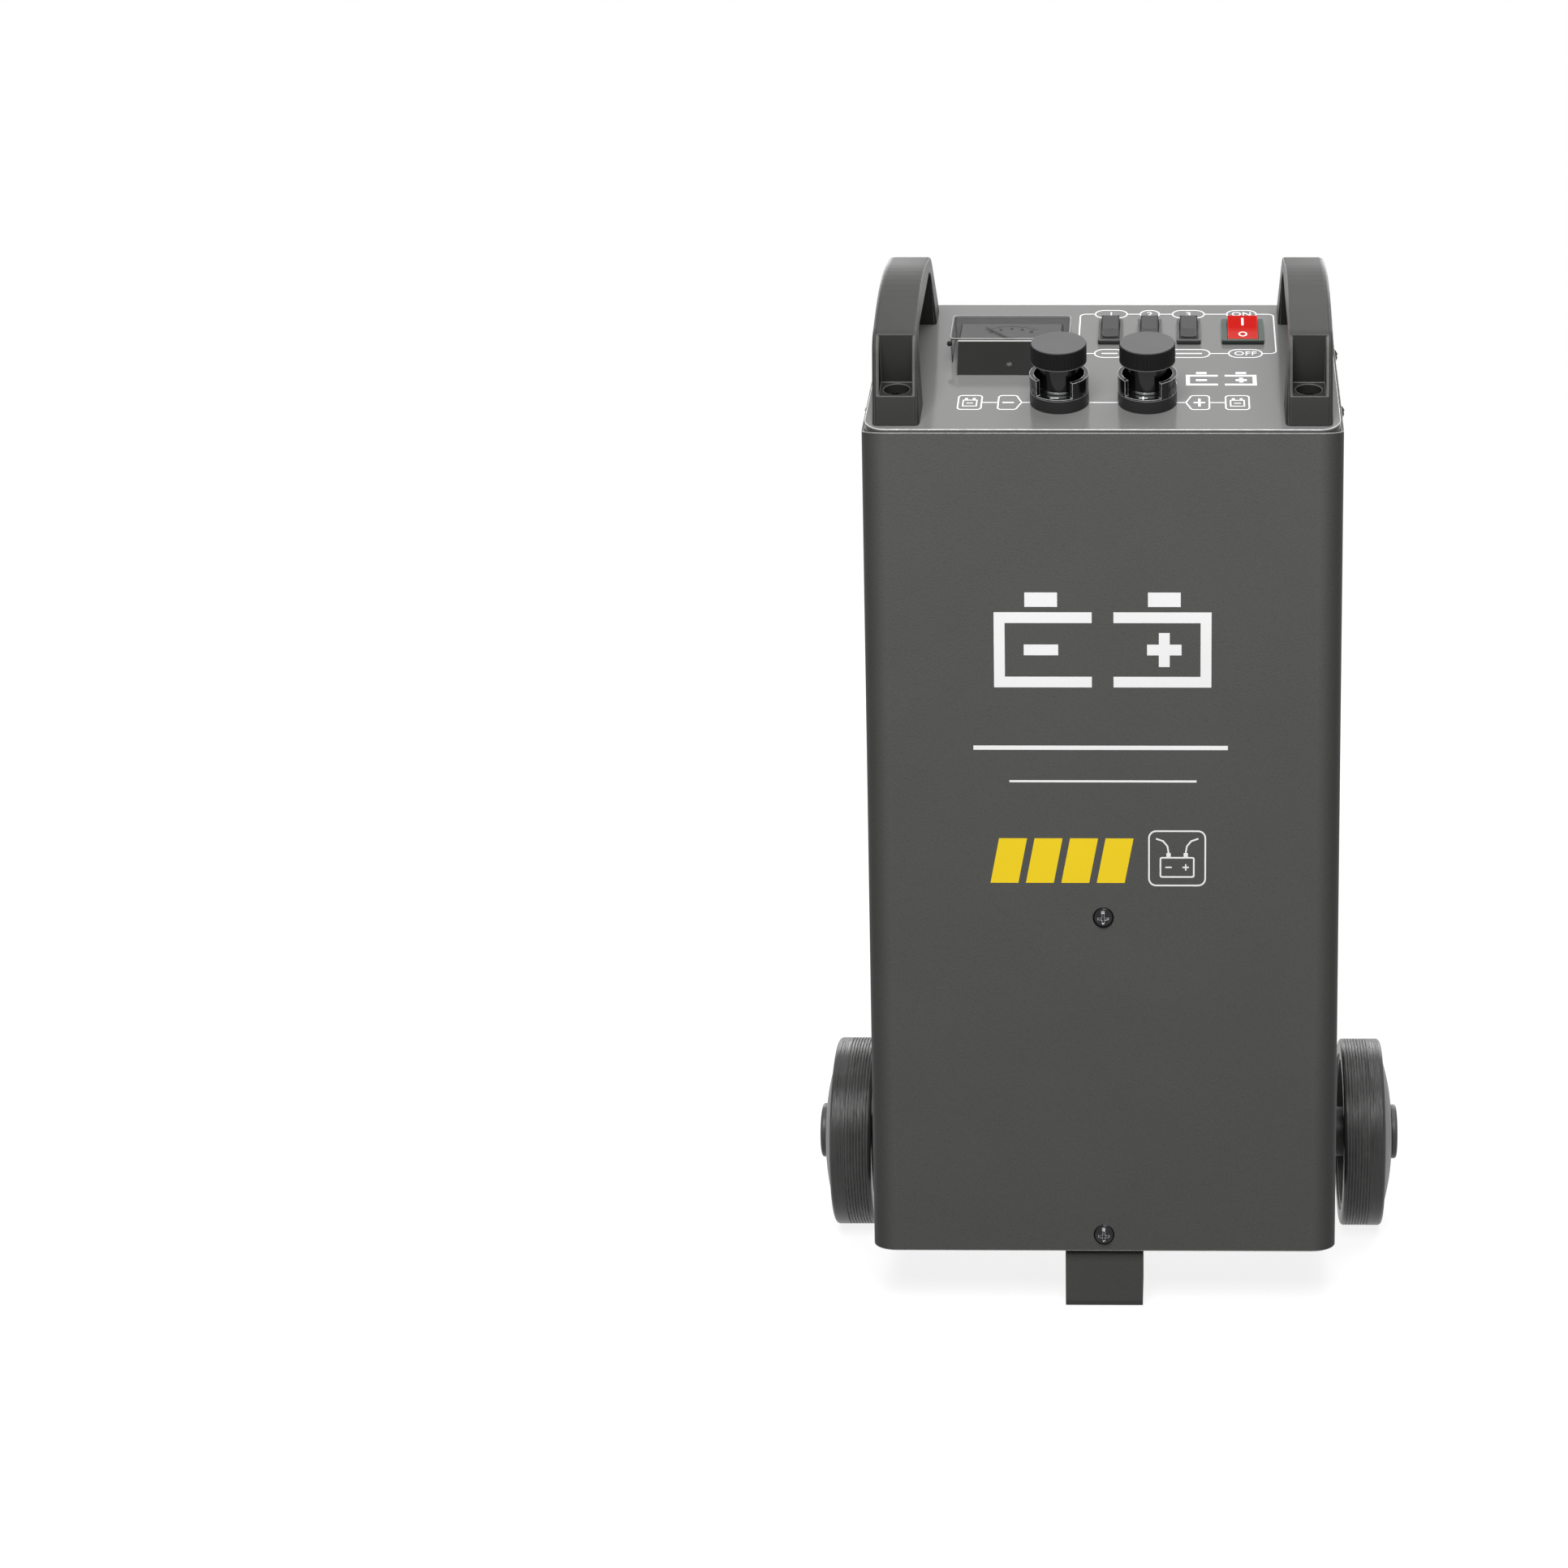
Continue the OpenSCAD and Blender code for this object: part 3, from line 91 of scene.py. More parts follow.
# Prints on the casing's front: stripes as left, right, height and width, then the level bars
STRIPES = ((-71.8, 69.3, 329.0, 2.4), (-52.0, 52.0, 310.0, 1.2))
BAR_LEFT, BAR_LOW, BAR_HIGH, BAR_W, BAR_GAP, BAR_LEAN = -63.0, 252.0, 277.5, 15.6, 4.2, 5.0

# Painted edge highlights and edge wear reach this many edge radii, but no further than the limit in
# millimetres
HIGHLIGHT_AND_WEAR_REACH, HIGHLIGHT_AND_WEAR_LIMIT = 1.6, 0.9

# Camera in metres and degrees, its shift in sensor widths
CAMERA_PLACE = Vector((0.0361, FRONT_Y - 1.564, 0.6467))
CAMERA_PITCH, CAMERA_YAW = math.radians(9.52), math.radians(0.48)
CAMERA_SHIFT = (-0.2298, -0.0859)


# Places, from millimetres on a face to the frame's metres


def on_panel(x, u, v):
    """Point on the sloped panel: x across, u up the slope, v out of it"""
    return PANEL_EDGE + Vector((x * MM, 0, 0)) + PANEL_UP * (u * MM) + PANEL_OUT * (v * MM)


def on_front(x, z, out):
    """Point on the casing's front face: x across, z above the floor, out towards the viewer"""
    return Vector((x * MM, FRONT_Y - out * MM, z * MM))


def on_notch(x, u, v):
    """Point on the floor of a post collar's notch: x across, u up the slope, v out of the floor"""
    return on_panel(x, u, COLLAR_FLOOR + v)


def on_scale(x, u, v):
    """Point on the meter's sloped scale plate: x from its middle, u up the panel, v out of the plate"""
    fall = (u - SCALE_FRONT) / (SCALE_BACK - SCALE_FRONT)
    return on_panel(METER_X + x, u, METER_H - SCALE_SINK - fall + v)


# Outlines in millimetres


def arc(cx, cy, r, start, stop, steps):
    """Points on an arc, its angles in degrees"""
    angles = [math.radians(start + (stop - start) * i / steps) for i in range(steps + 1)]
    return [(cx + r * math.cos(a), cy + r * math.sin(a)) for a in angles]


def round_box(x0, y0, x1, y1, r, steps=6):
    """Rectangle with round corners, anticlockwise"""
    return (
        arc(x1 - r, y0 + r, r, -90, 0, steps) + arc(x1 - r, y1 - r, r, 0, 90, steps)
        + arc(x0 + r, y1 - r, r, 90, 180, steps) + arc(x0 + r, y0 + r, r, 180, 270, steps)
    )


def box_outline(x0, y0, x1, y1):
    """Plain rectangle, anticlockwise"""
    return [(x0, y0), (x1, y0), (x1, y1), (x0, y1)]


# Thin solids


def plate_solid(bm, outline, place, low=-PRINT_SINK, high=PRINT_RISE):
    """Closed flat solid over an outline"""
    under = [bm.verts.new(place(x, y, low)) for x, y in outline]
    over = [bm.verts.new(place(x, y, high)) for x, y in outline]
    n = len(outline)
    bm.faces.new(list(reversed(under)))
    bm.faces.new(over)
    for i in range(n):
        j = (i + 1) % n
        bm.faces.new((under[i], under[j], over[j], over[i]))


def line_sides(points, width, closed):
    """The two edges of a drawn line of that width, mitred at its corners"""
    n = len(points)
    left, right = [], []
    for i, (x, y) in enumerate(points):
        before = points[i - 1] if closed or i > 0 else None
        after = points[(i + 1) % n] if closed or i < n - 1 else None
        normals = []
        for a, b in ((before, (x, y)), ((x, y), after)):
            if a is None or b is None:
                continue
            d = Vector((b[0] - a[0], b[1] - a[1]))
            if d.length > 1e-9:
                normals.append(Vector((-d.y, d.x)).normalized())
        out = sum(normals, Vector((0, 0))).normalized()
        out = out * (width / 2 / max(out.dot(normals[0]), 0.4))
        left.append((x + out.x, y + out.y))
        right.append((x - out.x, y - out.y))
    return left, right


def line_solid(bm, points, width, place, closed=False):
    """Closed solid along a drawn line"""
    rings = [
        [bm.verts.new(place(*point, level)) for point, level in (
            (left, -PRINT_SINK), (right, -PRINT_SINK), (right, PRINT_RISE), (left, PRINT_RISE))]
        for left, right in zip(*line_sides(points, width, closed))
    ]
    n = len(rings)
    for i in range(n if closed else n - 1):
        a, b = rings[i], rings[(i + 1) % n]
        for k in range(4):
            m = (k + 1) % 4
            bm.faces.new((a[k], a[m], b[m], b[k]))
    if not closed:
        bm.faces.new(list(reversed(rings[0])))
        bm.faces.new(rings[-1])


def sign_solid(bm, x, y, arm, width, place, rise=0.0):
    """Minus sign, or a plus sign where its upright has a rise"""
    line_solid(bm, [(x - arm, y), (x + arm, y)], width, place)
    for way in (-1, 1) if rise else ():
        line_solid(bm, [(x, y + way * width / 2), (x, y + way * rise)], width, place)


def glyph_solid(bm, words, size, place, x, y, bold=0.0):
    """Closed solids of generic characters, centred at x and y"""
    curve = bpy.data.curves.new("glyphs", "FONT")
    curve.body, curve.size = words, size
    curve.align_x, curve.align_y = "CENTER", "CENTER"
    curve.resolution_u = 3
    curve.offset = bold
    curve.extrude = 1
    holder = bpy.data.objects.new("glyphs", curve)
    bpy.context.scene.collection.objects.link(holder)
    bpy.context.view_layer.update()
    mesh = bpy.data.meshes.new_from_object(holder.evaluated_get(bpy.context.evaluated_depsgraph_get()))
    bpy.data.objects.remove(holder)
    for v in mesh.vertices:
        v.co = place(x + v.co.x, y + v.co.y, -PRINT_SINK if v.co.z < 0 else PRINT_RISE)
    bm.from_mesh(mesh)
    bpy.data.meshes.remove(mesh)


def finish_piece(name, bm, material, body):
    """Turns a bmesh into a named piece with its finish, riding on its body"""
    bmesh.ops.remove_doubles(bm, verts=bm.verts, dist=1e-7)
    bmesh.ops.recalc_face_normals(bm, faces=bm.faces)
    mesh = bpy.data.meshes.new(name)
    bm.to_mesh(mesh)
    bm.free()
    piece = bpy.data.objects.new(name, mesh)
    bpy.context.scene.collection.objects.link(piece)
    mesh.materials.append(material)
    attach(piece, body)


# Shader nodes and the shared effects


def put(tree, kind, inputs=None, **settings):
    """Adds a node, with its settings and with values or links for its inputs"""
    node = tree.nodes.new(kind)
    for name, value in settings.items():
        setattr(node, name, value)
    for name, value in (inputs or {}).items():
        if isinstance(value, bpy.types.NodeSocket):
            tree.links.new(value, node.inputs[name])
        else:
            node.inputs[name].default_value = value
    return node


def calc(tree, operation, a, b=0.0, c=0.0):
    """Math node's result"""
    return put(tree, "ShaderNodeMath", {0: a, 1: b, 2: c}, operation=operation).outputs[0]


def times(tree, a, b):
    """Product of two values"""
    return calc(tree, "MULTIPLY", a, b)


def vector_calc(tree, operation, *values, output=0):
    """Vector math node's result, a vector or with output 1 a number"""
    return put(tree, "ShaderNodeVectorMath", dict(enumerate(values)), operation=operation).outputs[output]


def object_place(tree):
    """Place on the surface, in the frame's metres"""
    return put(tree, "ShaderNodeTexCoord").outputs["Object"]


def noise(tree, place, scale, detail, output=0):
    """Noise texture's value, or with output 1 its colour"""
    inputs = {"Vector": place, "Scale": scale, "Detail": detail}
    return put(tree, "ShaderNodeTexNoise", inputs).outputs[output]


def blend(tree, share, a, b, mode="MIX"):
    """Mixed colour of a and b"""
    node = put(tree, "ShaderNodeMix", data_type="RGBA", blend_type=mode)
    for socket, value in ((node.inputs[0], share), (node.inputs[6], a), (node.inputs[7], b)):
        if isinstance(value, bpy.types.NodeSocket):
            tree.links.new(value, socket)
        else:
            socket.default_value = value
    return node.outputs[2]


def group_tree(name, inputs, outputs):
    """New shader group with named sockets: its tree, the inputs given and its result's sockets"""
    kinds = {"colour": "NodeSocketColor", "number": "NodeSocketFloat", "vector": "NodeSocketVector"}
    tree = bpy.data.node_groups.new(name, "ShaderNodeTree")
    for label, kind, value in inputs:
        socket = tree.interface.new_socket(label, in_out="INPUT", socket_type=kinds[kind])
        socket.default_value = value
    for label, kind in outputs:
        tree.interface.new_socket(label, in_out="OUTPUT", socket_type=kinds[kind])
    return tree, put(tree, "NodeGroupInput").outputs, put(tree, "NodeGroupOutput").inputs


def close_group(tree, result, **values):
    """Links a group's results to its output sockets and returns the group"""
    for label, value in values.items():
        tree.links.new(value, result[label])
    return tree


def place_group():
    """Millimetres from the middle of the panel's front edge: across it, up its slope and out of it"""
    tree, _given, result = group_tree("Panel Place", [], [
        ("Across", "number"), ("Up", "number"), ("Out", "number")])
    start = vector_calc(tree, "SUBTRACT", object_place(tree), PANEL_EDGE)
    across, up, out = (vector_calc(tree, "DOT_PRODUCT", start, axis / MM, output=1)
                       for axis in (Vector((1, 0, 0)), PANEL_UP, PANEL_OUT))
    return close_group(tree, result, Across=across, Up=up, Out=out)


def grain_group():
    """Skin of paint or moulded plastic: mottled colour, uneven gloss, fine dimples and eased edges"""
    tree, given, result = group_tree("Skin Grain", [
        ("Colour", "colour", (0.5, 0.5, 0.5, 1)), ("Mottle", "number", 0.1), ("Grain Size", "number", 0.8),
        ("Grain Depth", "number", 0.03), ("Relief", "number", 0.0), ("Roughness", "number", 0.5),
        ("Gloss Spread", "number", 0.08), ("Edge Radius", "number", 0.3),
    ], [("Colour", "colour"), ("Roughness", "number"), ("Normal", "vector")])
    place = object_place(tree)
    fine = calc(tree, "DIVIDE", 1 / MM, given["Grain Size"])
    broad = times(tree, fine, 0.012)  # clouds some 80 grains wide
    skin, cloud = noise(tree, place, fine, 2.0), noise(tree, place, broad, 3.0)
    speck = calc(tree, "MULTIPLY_ADD", skin, 0.5, calc(tree, "MULTIPLY_ADD", cloud, 1.6, -0.3))
    shade = calc(tree, "SUBTRACT", 1.0, times(tree, speck, given["Mottle"]))
    spread = times(tree, calc(tree, "SUBTRACT", cloud, 0.5), given["Gloss Spread"])
    radius = times(tree, given["Edge Radius"], MM)
    eased = put(tree, "ShaderNodeBevel", {"Radius": radius}, samples=6)
    height = calc(tree, "MULTIPLY_ADD", skin, given["Grain Depth"], given["Relief"])
    bump = put(tree, "ShaderNodeBump", {
        "Strength": 1.0, "Distance": MM, "Height": height, "Normal": eased.outputs[0]})
    return close_group(tree, result, Colour=tinted(tree, given["Colour"], shade), Normal=bump.outputs[0],
                       Roughness=calc(tree, "ADD", given["Roughness"], spread))


def edge_group():
    """Lighter colour painted over edges: a painted highlight where an edge catches the light, and paint or
    plastic thinned there by wear
    """
    tree, given, result = group_tree("Edge Highlight and Wear", [
        ("Colour", "colour", (0.1, 0.1, 0.1, 1)), ("Edge Colour", "colour", (0.3, 0.3, 0.3, 1)),
        ("Width", "number", 0.5), ("Amount", "number", 0.4),
    ], [("Colour", "colour"), ("Mask", "number")])
    radius = times(tree, given["Width"], MM)
    wide = put(tree, "ShaderNodeBevel", {"Radius": radius}, samples=6)
    flat = put(tree, "ShaderNodeNewGeometry").outputs["Normal"]
    alike = vector_calc(tree, "DOT_PRODUCT", wide.outputs[0], flat, output=1)
    turn = calc(tree, "SUBTRACT", 1.0, alike)
    patch = noise(tree, object_place(tree), 180.0, 4.0)
    broken = times(tree, turn, times(tree, patch, 9.0))
    lightened_share = times(tree, broken, given["Amount"])
    # Painted highlight: the lightened share along an edge stands for the light that the edge catches
    mask = put(tree, "ShaderNodeClamp", {"Value": lightened_share}).outputs[0]
    colour = blend(tree, mask, given["Colour"], given["Edge Colour"])
    return close_group(tree, result, Colour=colour, Mask=mask)


def leather_group():
    """Small round cells like a leather skin, as powder coat over a textured primer shows"""
    tree, given, result = group_tree("Leather Cells", [
        ("Cell Size", "number", 1.1), ("Depth", "number", 0.05), ("Shade Spread", "number", 0.1),
    ], [("Height", "number"), ("Shade", "number")])
    place = object_place(tree)
    scale = calc(tree, "DIVIDE", 1 / MM, given["Cell Size"])
    wander = noise(tree, place, 260.0, 1.0, output=1)
    bent = vector_calc(tree, "MULTIPLY_ADD", wander, (MM, MM, MM), place)
    cells = put(tree, "ShaderNodeTexVoronoi", {
        "Vector": bent, "Scale": scale, "Smoothness": 0.55, "Randomness": 0.75}, feature="SMOOTH_F1")
    dome = calc(tree, "SUBTRACT", 1.0, times(tree, cells.outputs["Distance"], 1.4))
    strong = calc(tree, "MULTIPLY_ADD", noise(tree, place, 9.0, 1.0), 1.4, 0.3)
    height = times(tree, times(tree, dome, given["Depth"]), strong)
    # Painted light and shade: the cells' domes are painted lighter and the hollows between them darker
    lift = times(tree, calc(tree, "SUBTRACT", dome, 0.5), given["Shade Spread"])
    return close_group(tree, result, Height=height, Shade=calc(tree, "ADD", 1.0, lift))


def line_group():
    """Fine lines that a tool, a die or a mould leaves along one direction"""
    tree, given, result = group_tree("Tool Lines", [
        ("Stretch", "vector", (1, 60, 60)), ("Depth", "number", 0.01), ("Shade Spread", "number", 0.2),
    ], [("Height", "number"), ("Shade", "number")])
    place = object_place(tree)
    lines = noise(tree, vector_calc(tree, "MULTIPLY", place, given["Stretch"]), 60.0, 3.0)
    stain = noise(tree, place, 90.0, 4.0)
    # Painted light and shade on the lines: raised lines are painted lighter and low ones darker, on top of
    # a random stain
    lit_lines_and_stain = calc(tree, "SUBTRACT", calc(tree, "ADD", lines, stain), 1.0)
    return close_group(tree, result, Height=times(tree, lines, given["Depth"]),
                       Shade=calc(tree, "MULTIPLY_ADD", lit_lines_and_stain, given["Shade Spread"], 1.0))


def knurl_group():
    """Diamond knurl round the posts' knobs, between two heights over the panel"""
    tree, given, result = group_tree("Knurl", [
        ("Count", "number", 76.0), ("Depth", "number", 0.2),
        ("Low", "number", KNOB_LOW), ("High", "number", KNOB_TOP),
    ], [("Height", "number"), ("Shade", "number")])
    place = use_group(tree, "Panel Place")
    beside = calc(tree, "SUBTRACT", calc(tree, "ABSOLUTE", place["Across"]), POST_X)
    turn = calc(tree, "ARCTAN2", calc(tree, "SUBTRACT", place["Up"], POST_U), beside)
    round_it = times(tree, turn, given["Count"])
    rise = times(tree, place["Out"], calc(tree, "DIVIDE", given["Count"], KNOB_R))
    one = calc(tree, "SINE", calc(tree, "ADD", round_it, rise))
    other = calc(tree, "SINE", calc(tree, "SUBTRACT", round_it, rise))
    inside = times(tree, calc(tree, "GREATER_THAN", place["Out"], given["Low"]),
                  calc(tree, "LESS_THAN", place["Out"], given["High"]))
    wave = calc(tree, "MULTIPLY_ADD", calc(tree, "MAXIMUM", one, other), 0.5, 0.5)
    cut = times(tree, wave, inside)
    height = times(tree, calc(tree, "SUBTRACT", 0.0, cut), given["Depth"])
    # Painted shade: the knurl's cuts are painted darker, as if shade lay in them
    shade = calc(tree, "SUBTRACT", 1.0, times(tree, cut, 0.45))
    return close_group(tree, result, Height=height, Shade=shade)


def shared_group(name):
    """The named effect, built once"""
    builders = {
        "Panel Place": place_group, "Skin Grain": grain_group, "Edge Highlight and Wear": edge_group,
        "Leather Cells": leather_group, "Tool Lines": line_group, "Knurl": knurl_group,
    }
    return bpy.data.node_groups.get(name) or builders[name]()


def use_group(tree, name, **values):
    """Places a shared effect in a material with its own values"""
    node = put(tree, "ShaderNodeGroup", node_tree=shared_group(name))
    for label, value in values.items():
        socket = node.inputs[label.replace("_", " ")]
        if isinstance(value, bpy.types.NodeSocket):
            tree.links.new(value, socket)
        else:
            socket.default_value = value
    return node.outputs


def tinted(tree, colour, shade):
    """Colour made lighter or darker by a shade"""
    shades = put(tree, "ShaderNodeCombineColor", {0: shade, 1: shade, 2: shade}).outputs[0]
    return blend(tree, 1.0, colour, shades, "MULTIPLY")


def between(tree, value, low, high, first=0.0):
    """Goes from 0, or another first level, to 1 as a value goes from low to high"""
    return put(tree, "ShaderNodeMapRange", {0: value, 1: low, 2: high, 3: first, 4: 1.0}).outputs[0]


# Colours and finishes


def grey(level):
    """Neutral grey of that level"""
    return (level, level, level)


def lighter(colour, factor):
    """The colour that many times as light, or darker where the factor is under one"""
    return [c * factor for c in colour]


def rgba(colour):
    """Colour with full cover"""
    return (*colour[:3], 1.0)


def bare_material(name):
    """New material with its tree and its one shader"""
    material = bpy.data.materials.new(name)
    material.use_nodes = True
    return material, material.node_tree, material.node_tree.nodes["Principled BSDF"]


def leather_base(colour, depth, size):
    """Maker of a powder-coated base: its colour with painted light and shade on the cells and painted shade
    round the bends, and the cells' height
    """
    def make(tree):
        cells = use_group(tree, "Leather Cells", Depth=depth, Cell_Size=size, Shade_Spread=0.16)
        facing = put(tree, "ShaderNodeNewGeometry").outputs["Normal"]
        turn = calc(tree, "ABSOLUTE", put(tree, "ShaderNodeSeparateXYZ", {0: facing}).outputs["X"])
        # Painted shade: bends that turn away from the flat front, but not as far as the flat side, are
        # painted darker
        off_front, off_side = between(tree, turn, 0.1, 0.8), between(tree, turn, 0.999, 0.96)
        painted_bend_shade = calc(tree, "MULTIPLY_ADD", times(tree, off_front, off_side), -0.45, 1.0)
        return tinted(tree, rgba(colour), times(tree, cells["Shade"], painted_bend_shade)), cells["Height"]
    return make


def lined_base(colour, stretch, depth, spread):
    """Maker of a base with tool or mould lines: its shaded colour and the lines' height"""
    def make(tree):
        lines = use_group(tree, "Tool Lines", Stretch=stretch, Depth=depth, Shade_Spread=spread)
        return tinted(tree, rgba(colour), lines["Shade"]), lines["Height"]
    return make


def panel_base(colour):
    """Maker of the panel's enamel, painted darker down in the seam round it: painted shade in the gap below
    the panel's front fold
    """
    def make(tree):
        # Painted shade: below the fold the enamel is painted darker down into the seam
        clear_of_seam_shade = between(tree, use_group(tree, "Panel Place")["Out"], -1.3, -0.35)
        return tinted(tree, rgba(colour), calc(tree, "MULTIPLY_ADD", clear_of_seam_shade, 0.88, 0.12)), 0.0
    return make


def handle_base(colour):
    """Maker of the handles' base: painted lighter up at the crown and darker down at the panel, as light
    falls on them, with a random patchy tone
    """
    def make(tree):
        out = use_group(tree, "Panel Place")["Out"]
        # Painted light: lighter towards the crown where the light falls, and painted shade down near the
        # panel
        lightened_share = between(tree, out, 4.0, 50.0)
        patch = put(tree, "ShaderNodeTexNoise", {"Scale": 70.0, "Detail": 3.0}).outputs[0]
        shade = calc(tree, "MULTIPLY_ADD", calc(tree, "MULTIPLY_ADD", patch, 0.3, lightened_share), 0.56, 0.50)
        return tinted(tree, rgba(colour), shade), 0.0
    return make


def bezel_base(colour):
    """Maker of a switch bezel's base: its face in the colour given, its outer wall painted darker as
    painted shade
    """
    def make(tree):
        # Painted shade: the outer wall below the lit face is painted at a third of the face's colour
        face = between(tree, use_group(tree, "Panel Place")["Out"], BEZEL_H - 1.3, BEZEL_H - 0.5)
        return blend(tree, face, rgba(lighter(colour, 0.3)), rgba(colour)), 0.0
    return make


def red_base(colour):
    """Maker of the mains rocker's base: paler towards the front, where the light lies flat on it"""
    def make(tree):
        up = use_group(tree, "Panel Place")["Up"]
        pale = times(tree, between(tree, up, SWITCH_U + 1.0, SWITCH_U - 6.0), 0.08)
        return blend(tree, pale, rgba(colour), (0.95, 0.35, 0.30, 1)), 0.0
    return make


def meter_base(tree):
    """Base of the meter's case: dark front wall under a painted highlight along its upper edge"""
    place = use_group(tree, "Panel Place")
    # Painted highlight: a pale band along the case's upper edge at the front
    over = between(tree, place["Out"], METER_H - 0.6, METER_H - 0.2)
    ridge_highlight = times(tree, over, calc(tree, "GREATER_THAN", place["Up"], COVER_FRONT - 0.9))
    return blend(tree, ridge_highlight, (0.009, 0.009, 0.0083, 1), (0.52, 0.52, 0.51, 1)), 0.0


def over_shank(tree):
    """One on a post knob's head, nought on its shank"""
    return calc(tree, "GREATER_THAN", use_group(tree, "Panel Place")["Out"], KNOB_LOW - 0.05)


def knob_base(tree):
    """Base of the posts' knobs: dull flat top painted lighter where light falls, rims painted light as
    highlights, knurled dark side and bright black shank
    """
    out = use_group(tree, "Panel Place")["Out"]
    knurl = use_group(tree, "Knurl", Low=KNOB_LOW + 0.4, High=KNOB_TOP - 0.8, Depth=0.1, Count=76.0)
    head, rim_width = over_shank(tree), 0.55
    knurled = tinted(tree, rgba(grey(0.0115)), knurl["Shade"])
    body = blend(tree, head, (0.006, 0.006, 0.0065, 1), knurled)
    # Painted highlights: a light band along the knob's lower and upper rims
    low_rim_highlight = times(tree, head, calc(tree, "LESS_THAN", out, KNOB_LOW + rim_width))
    painted_rim = calc(tree, "ADD", low_rim_highlight, calc(tree, "GREATER_THAN", out, KNOB_TOP - rim_width))
    body = blend(tree, times(tree, painted_rim, 0.6), body, (0.24, 0.24, 0.245, 1))
    # Painted light: the flat top is painted a lighter grey where the light falls on it
    top = calc(tree, "GREATER_THAN", out, KNOB_TOP - 0.1)
    return blend(tree, top, body, (0.105, 0.105, 0.107, 1)), knurl["Height"]


def knob_rough(tree):
    """Roughness of the posts' knobs: bright shank, dull above it"""
    return calc(tree, "MULTIPLY_ADD", over_shank(tree), 0.4, 0.12)


def knob_coat(tree):
    """Gloss of the knobs' shanks"""
    return calc(tree, "MULTIPLY_ADD", over_shank(tree), -0.4, 0.4)


def wear_skin(tree, skin, shader):
    """Links a skin's colour, roughness and normal to the shader"""
    for label, socket in (("Colour", "Base Color"), ("Roughness", "Roughness"), ("Normal", "Normal")):
        tree.links.new(skin[label], shader.inputs[socket])


def skin_material(name, base, rough, mottle=0.1, size=0.8, depth=0.03, spread=0.08, specular=0.5,
                  edge=None, edge_amount=0.4, radius=0.3, coat=0.0, coat_rough=0.12, metallic=0.0):
    """Surface with a skin of its own over a plain colour, or over a base that its maker gives"""
    material, tree, shader = bare_material(name)
    colour, relief = base(tree) if callable(base) else (rgba(base), 0.0)
    if edge is not None:
        colour = use_group(tree, "Edge Highlight and Wear", Colour=colour, Edge_Colour=rgba(edge), Amount=edge_amount,
                           Width=min(radius * HIGHLIGHT_AND_WEAR_REACH, HIGHLIGHT_AND_WEAR_LIMIT))["Colour"]
    gloss = rough(tree) if callable(rough) else rough
    skin = use_group(tree, "Skin Grain", Colour=colour, Mottle=mottle, Grain_Size=size, Grain_Depth=depth,
                     Relief=relief, Roughness=gloss, Gloss_Spread=spread, Edge_Radius=radius)
    wear_skin(tree, skin, shader)
    shader.inputs["Specular IOR Level"].default_value = specular
    shader.inputs["Coat Roughness"].default_value = coat_rough
    shader.inputs["Metallic"].default_value = metallic
    if callable(coat):
        tree.links.new(coat(tree), shader.inputs["Coat Weight"])
    else:
        shader.inputs["Coat Weight"].default_value = coat
    return material


def metal_material(name, colour, rough, stretch=(1, 1, 1), depth=0.01, spread=0.3, metallic=1.0, edge=None):
    """Bare or plated metal with tool lines, its edges painted bright as glints where an edge colour is
    given
    """
    return skin_material(
        name, lined_base(colour, stretch, depth, spread), rough, mottle=0.05, size=1.2, depth=0.002,
        spread=0.12, radius=0.2, metallic=metallic, edge=edge, edge_amount=1.2)


def print_ink(name, colour):
    """Screen-printed ink"""
    return skin_material(name, colour, 0.5, mottle=0.05, size=0.5, depth=0.004, spread=0.05,
                         specular=0.3, radius=0.02)


def give(slot, material):
    """Gives a finish to every CAD node of this record slot"""
    for part in frame["record"]["subparts"]:
        if part["material_slot"] == slot:
            node = CAD[part["node"]]
            node.data.materials.clear()
            node.data.materials.append(material)


def dress(slot, *look, **amounts):
    """Gives a slot its own skin"""
    give(slot, skin_material(*look, **amounts))


def clad(slot, *look, **amounts):
    """Gives a slot its own metal"""
    give(slot, metal_material(*look, **amounts))


# Settings that a user would change


def colour_setting(name, description, default):
    """Colour that the user may change"""
    return bpy.props.FloatVectorProperty(
        name=name, description=description, subtype="COLOR", size=3, min=0, max=1, default=default)


def amount_setting(name, description, default, least, most, unit="NONE"):
    """Amount that the user may change"""
    return bpy.props.FloatProperty(
        name=name, description=description, default=default, min=least, max=most, unit=unit)


class ChargerPaint(bpy.types.PropertyGroup):
    """Colours of the charger's paint and mouldings"""

    casing: colour_setting("Casing", "Powder coat of the casing", (0.088, 0.088, 0.0850))
    panel: colour_setting("Panel", "Satin enamel of the control panel", (0.165, 0.165, 0.163))
    handle: colour_setting("Handles", "Moulded handles", (0.040, 0.040, 0.0389))
    wheel: colour_setting("Wheels", "Wheel centres and treads", (0.056, 0.056, 0.0545))
    power: colour_setting("Power rocker", "Red mains rocker", (0.42, 0.004, 0.002))
    dimples: amount_setting("Dimples", "Depth of the powder coat's cells in millimetres", 0.08, 0, 0.3)
    cells: amount_setting("Cells", "Size of the powder coat's cells in millimetres", 0.85, 0.5, 3)


class ChargerPrint(bpy.types.PropertyGroup):
    """Printed marks"""

    white: colour_setting("White", "White printing ink", grey(0.90))
    yellow: colour_setting("Yellow", "Yellow printing ink", (0.91, 0.65, 0.012))
    line: amount_setting("Line width", "Width of the panel's printed lines in millimetres", 0.8, 0.3, 1.2)


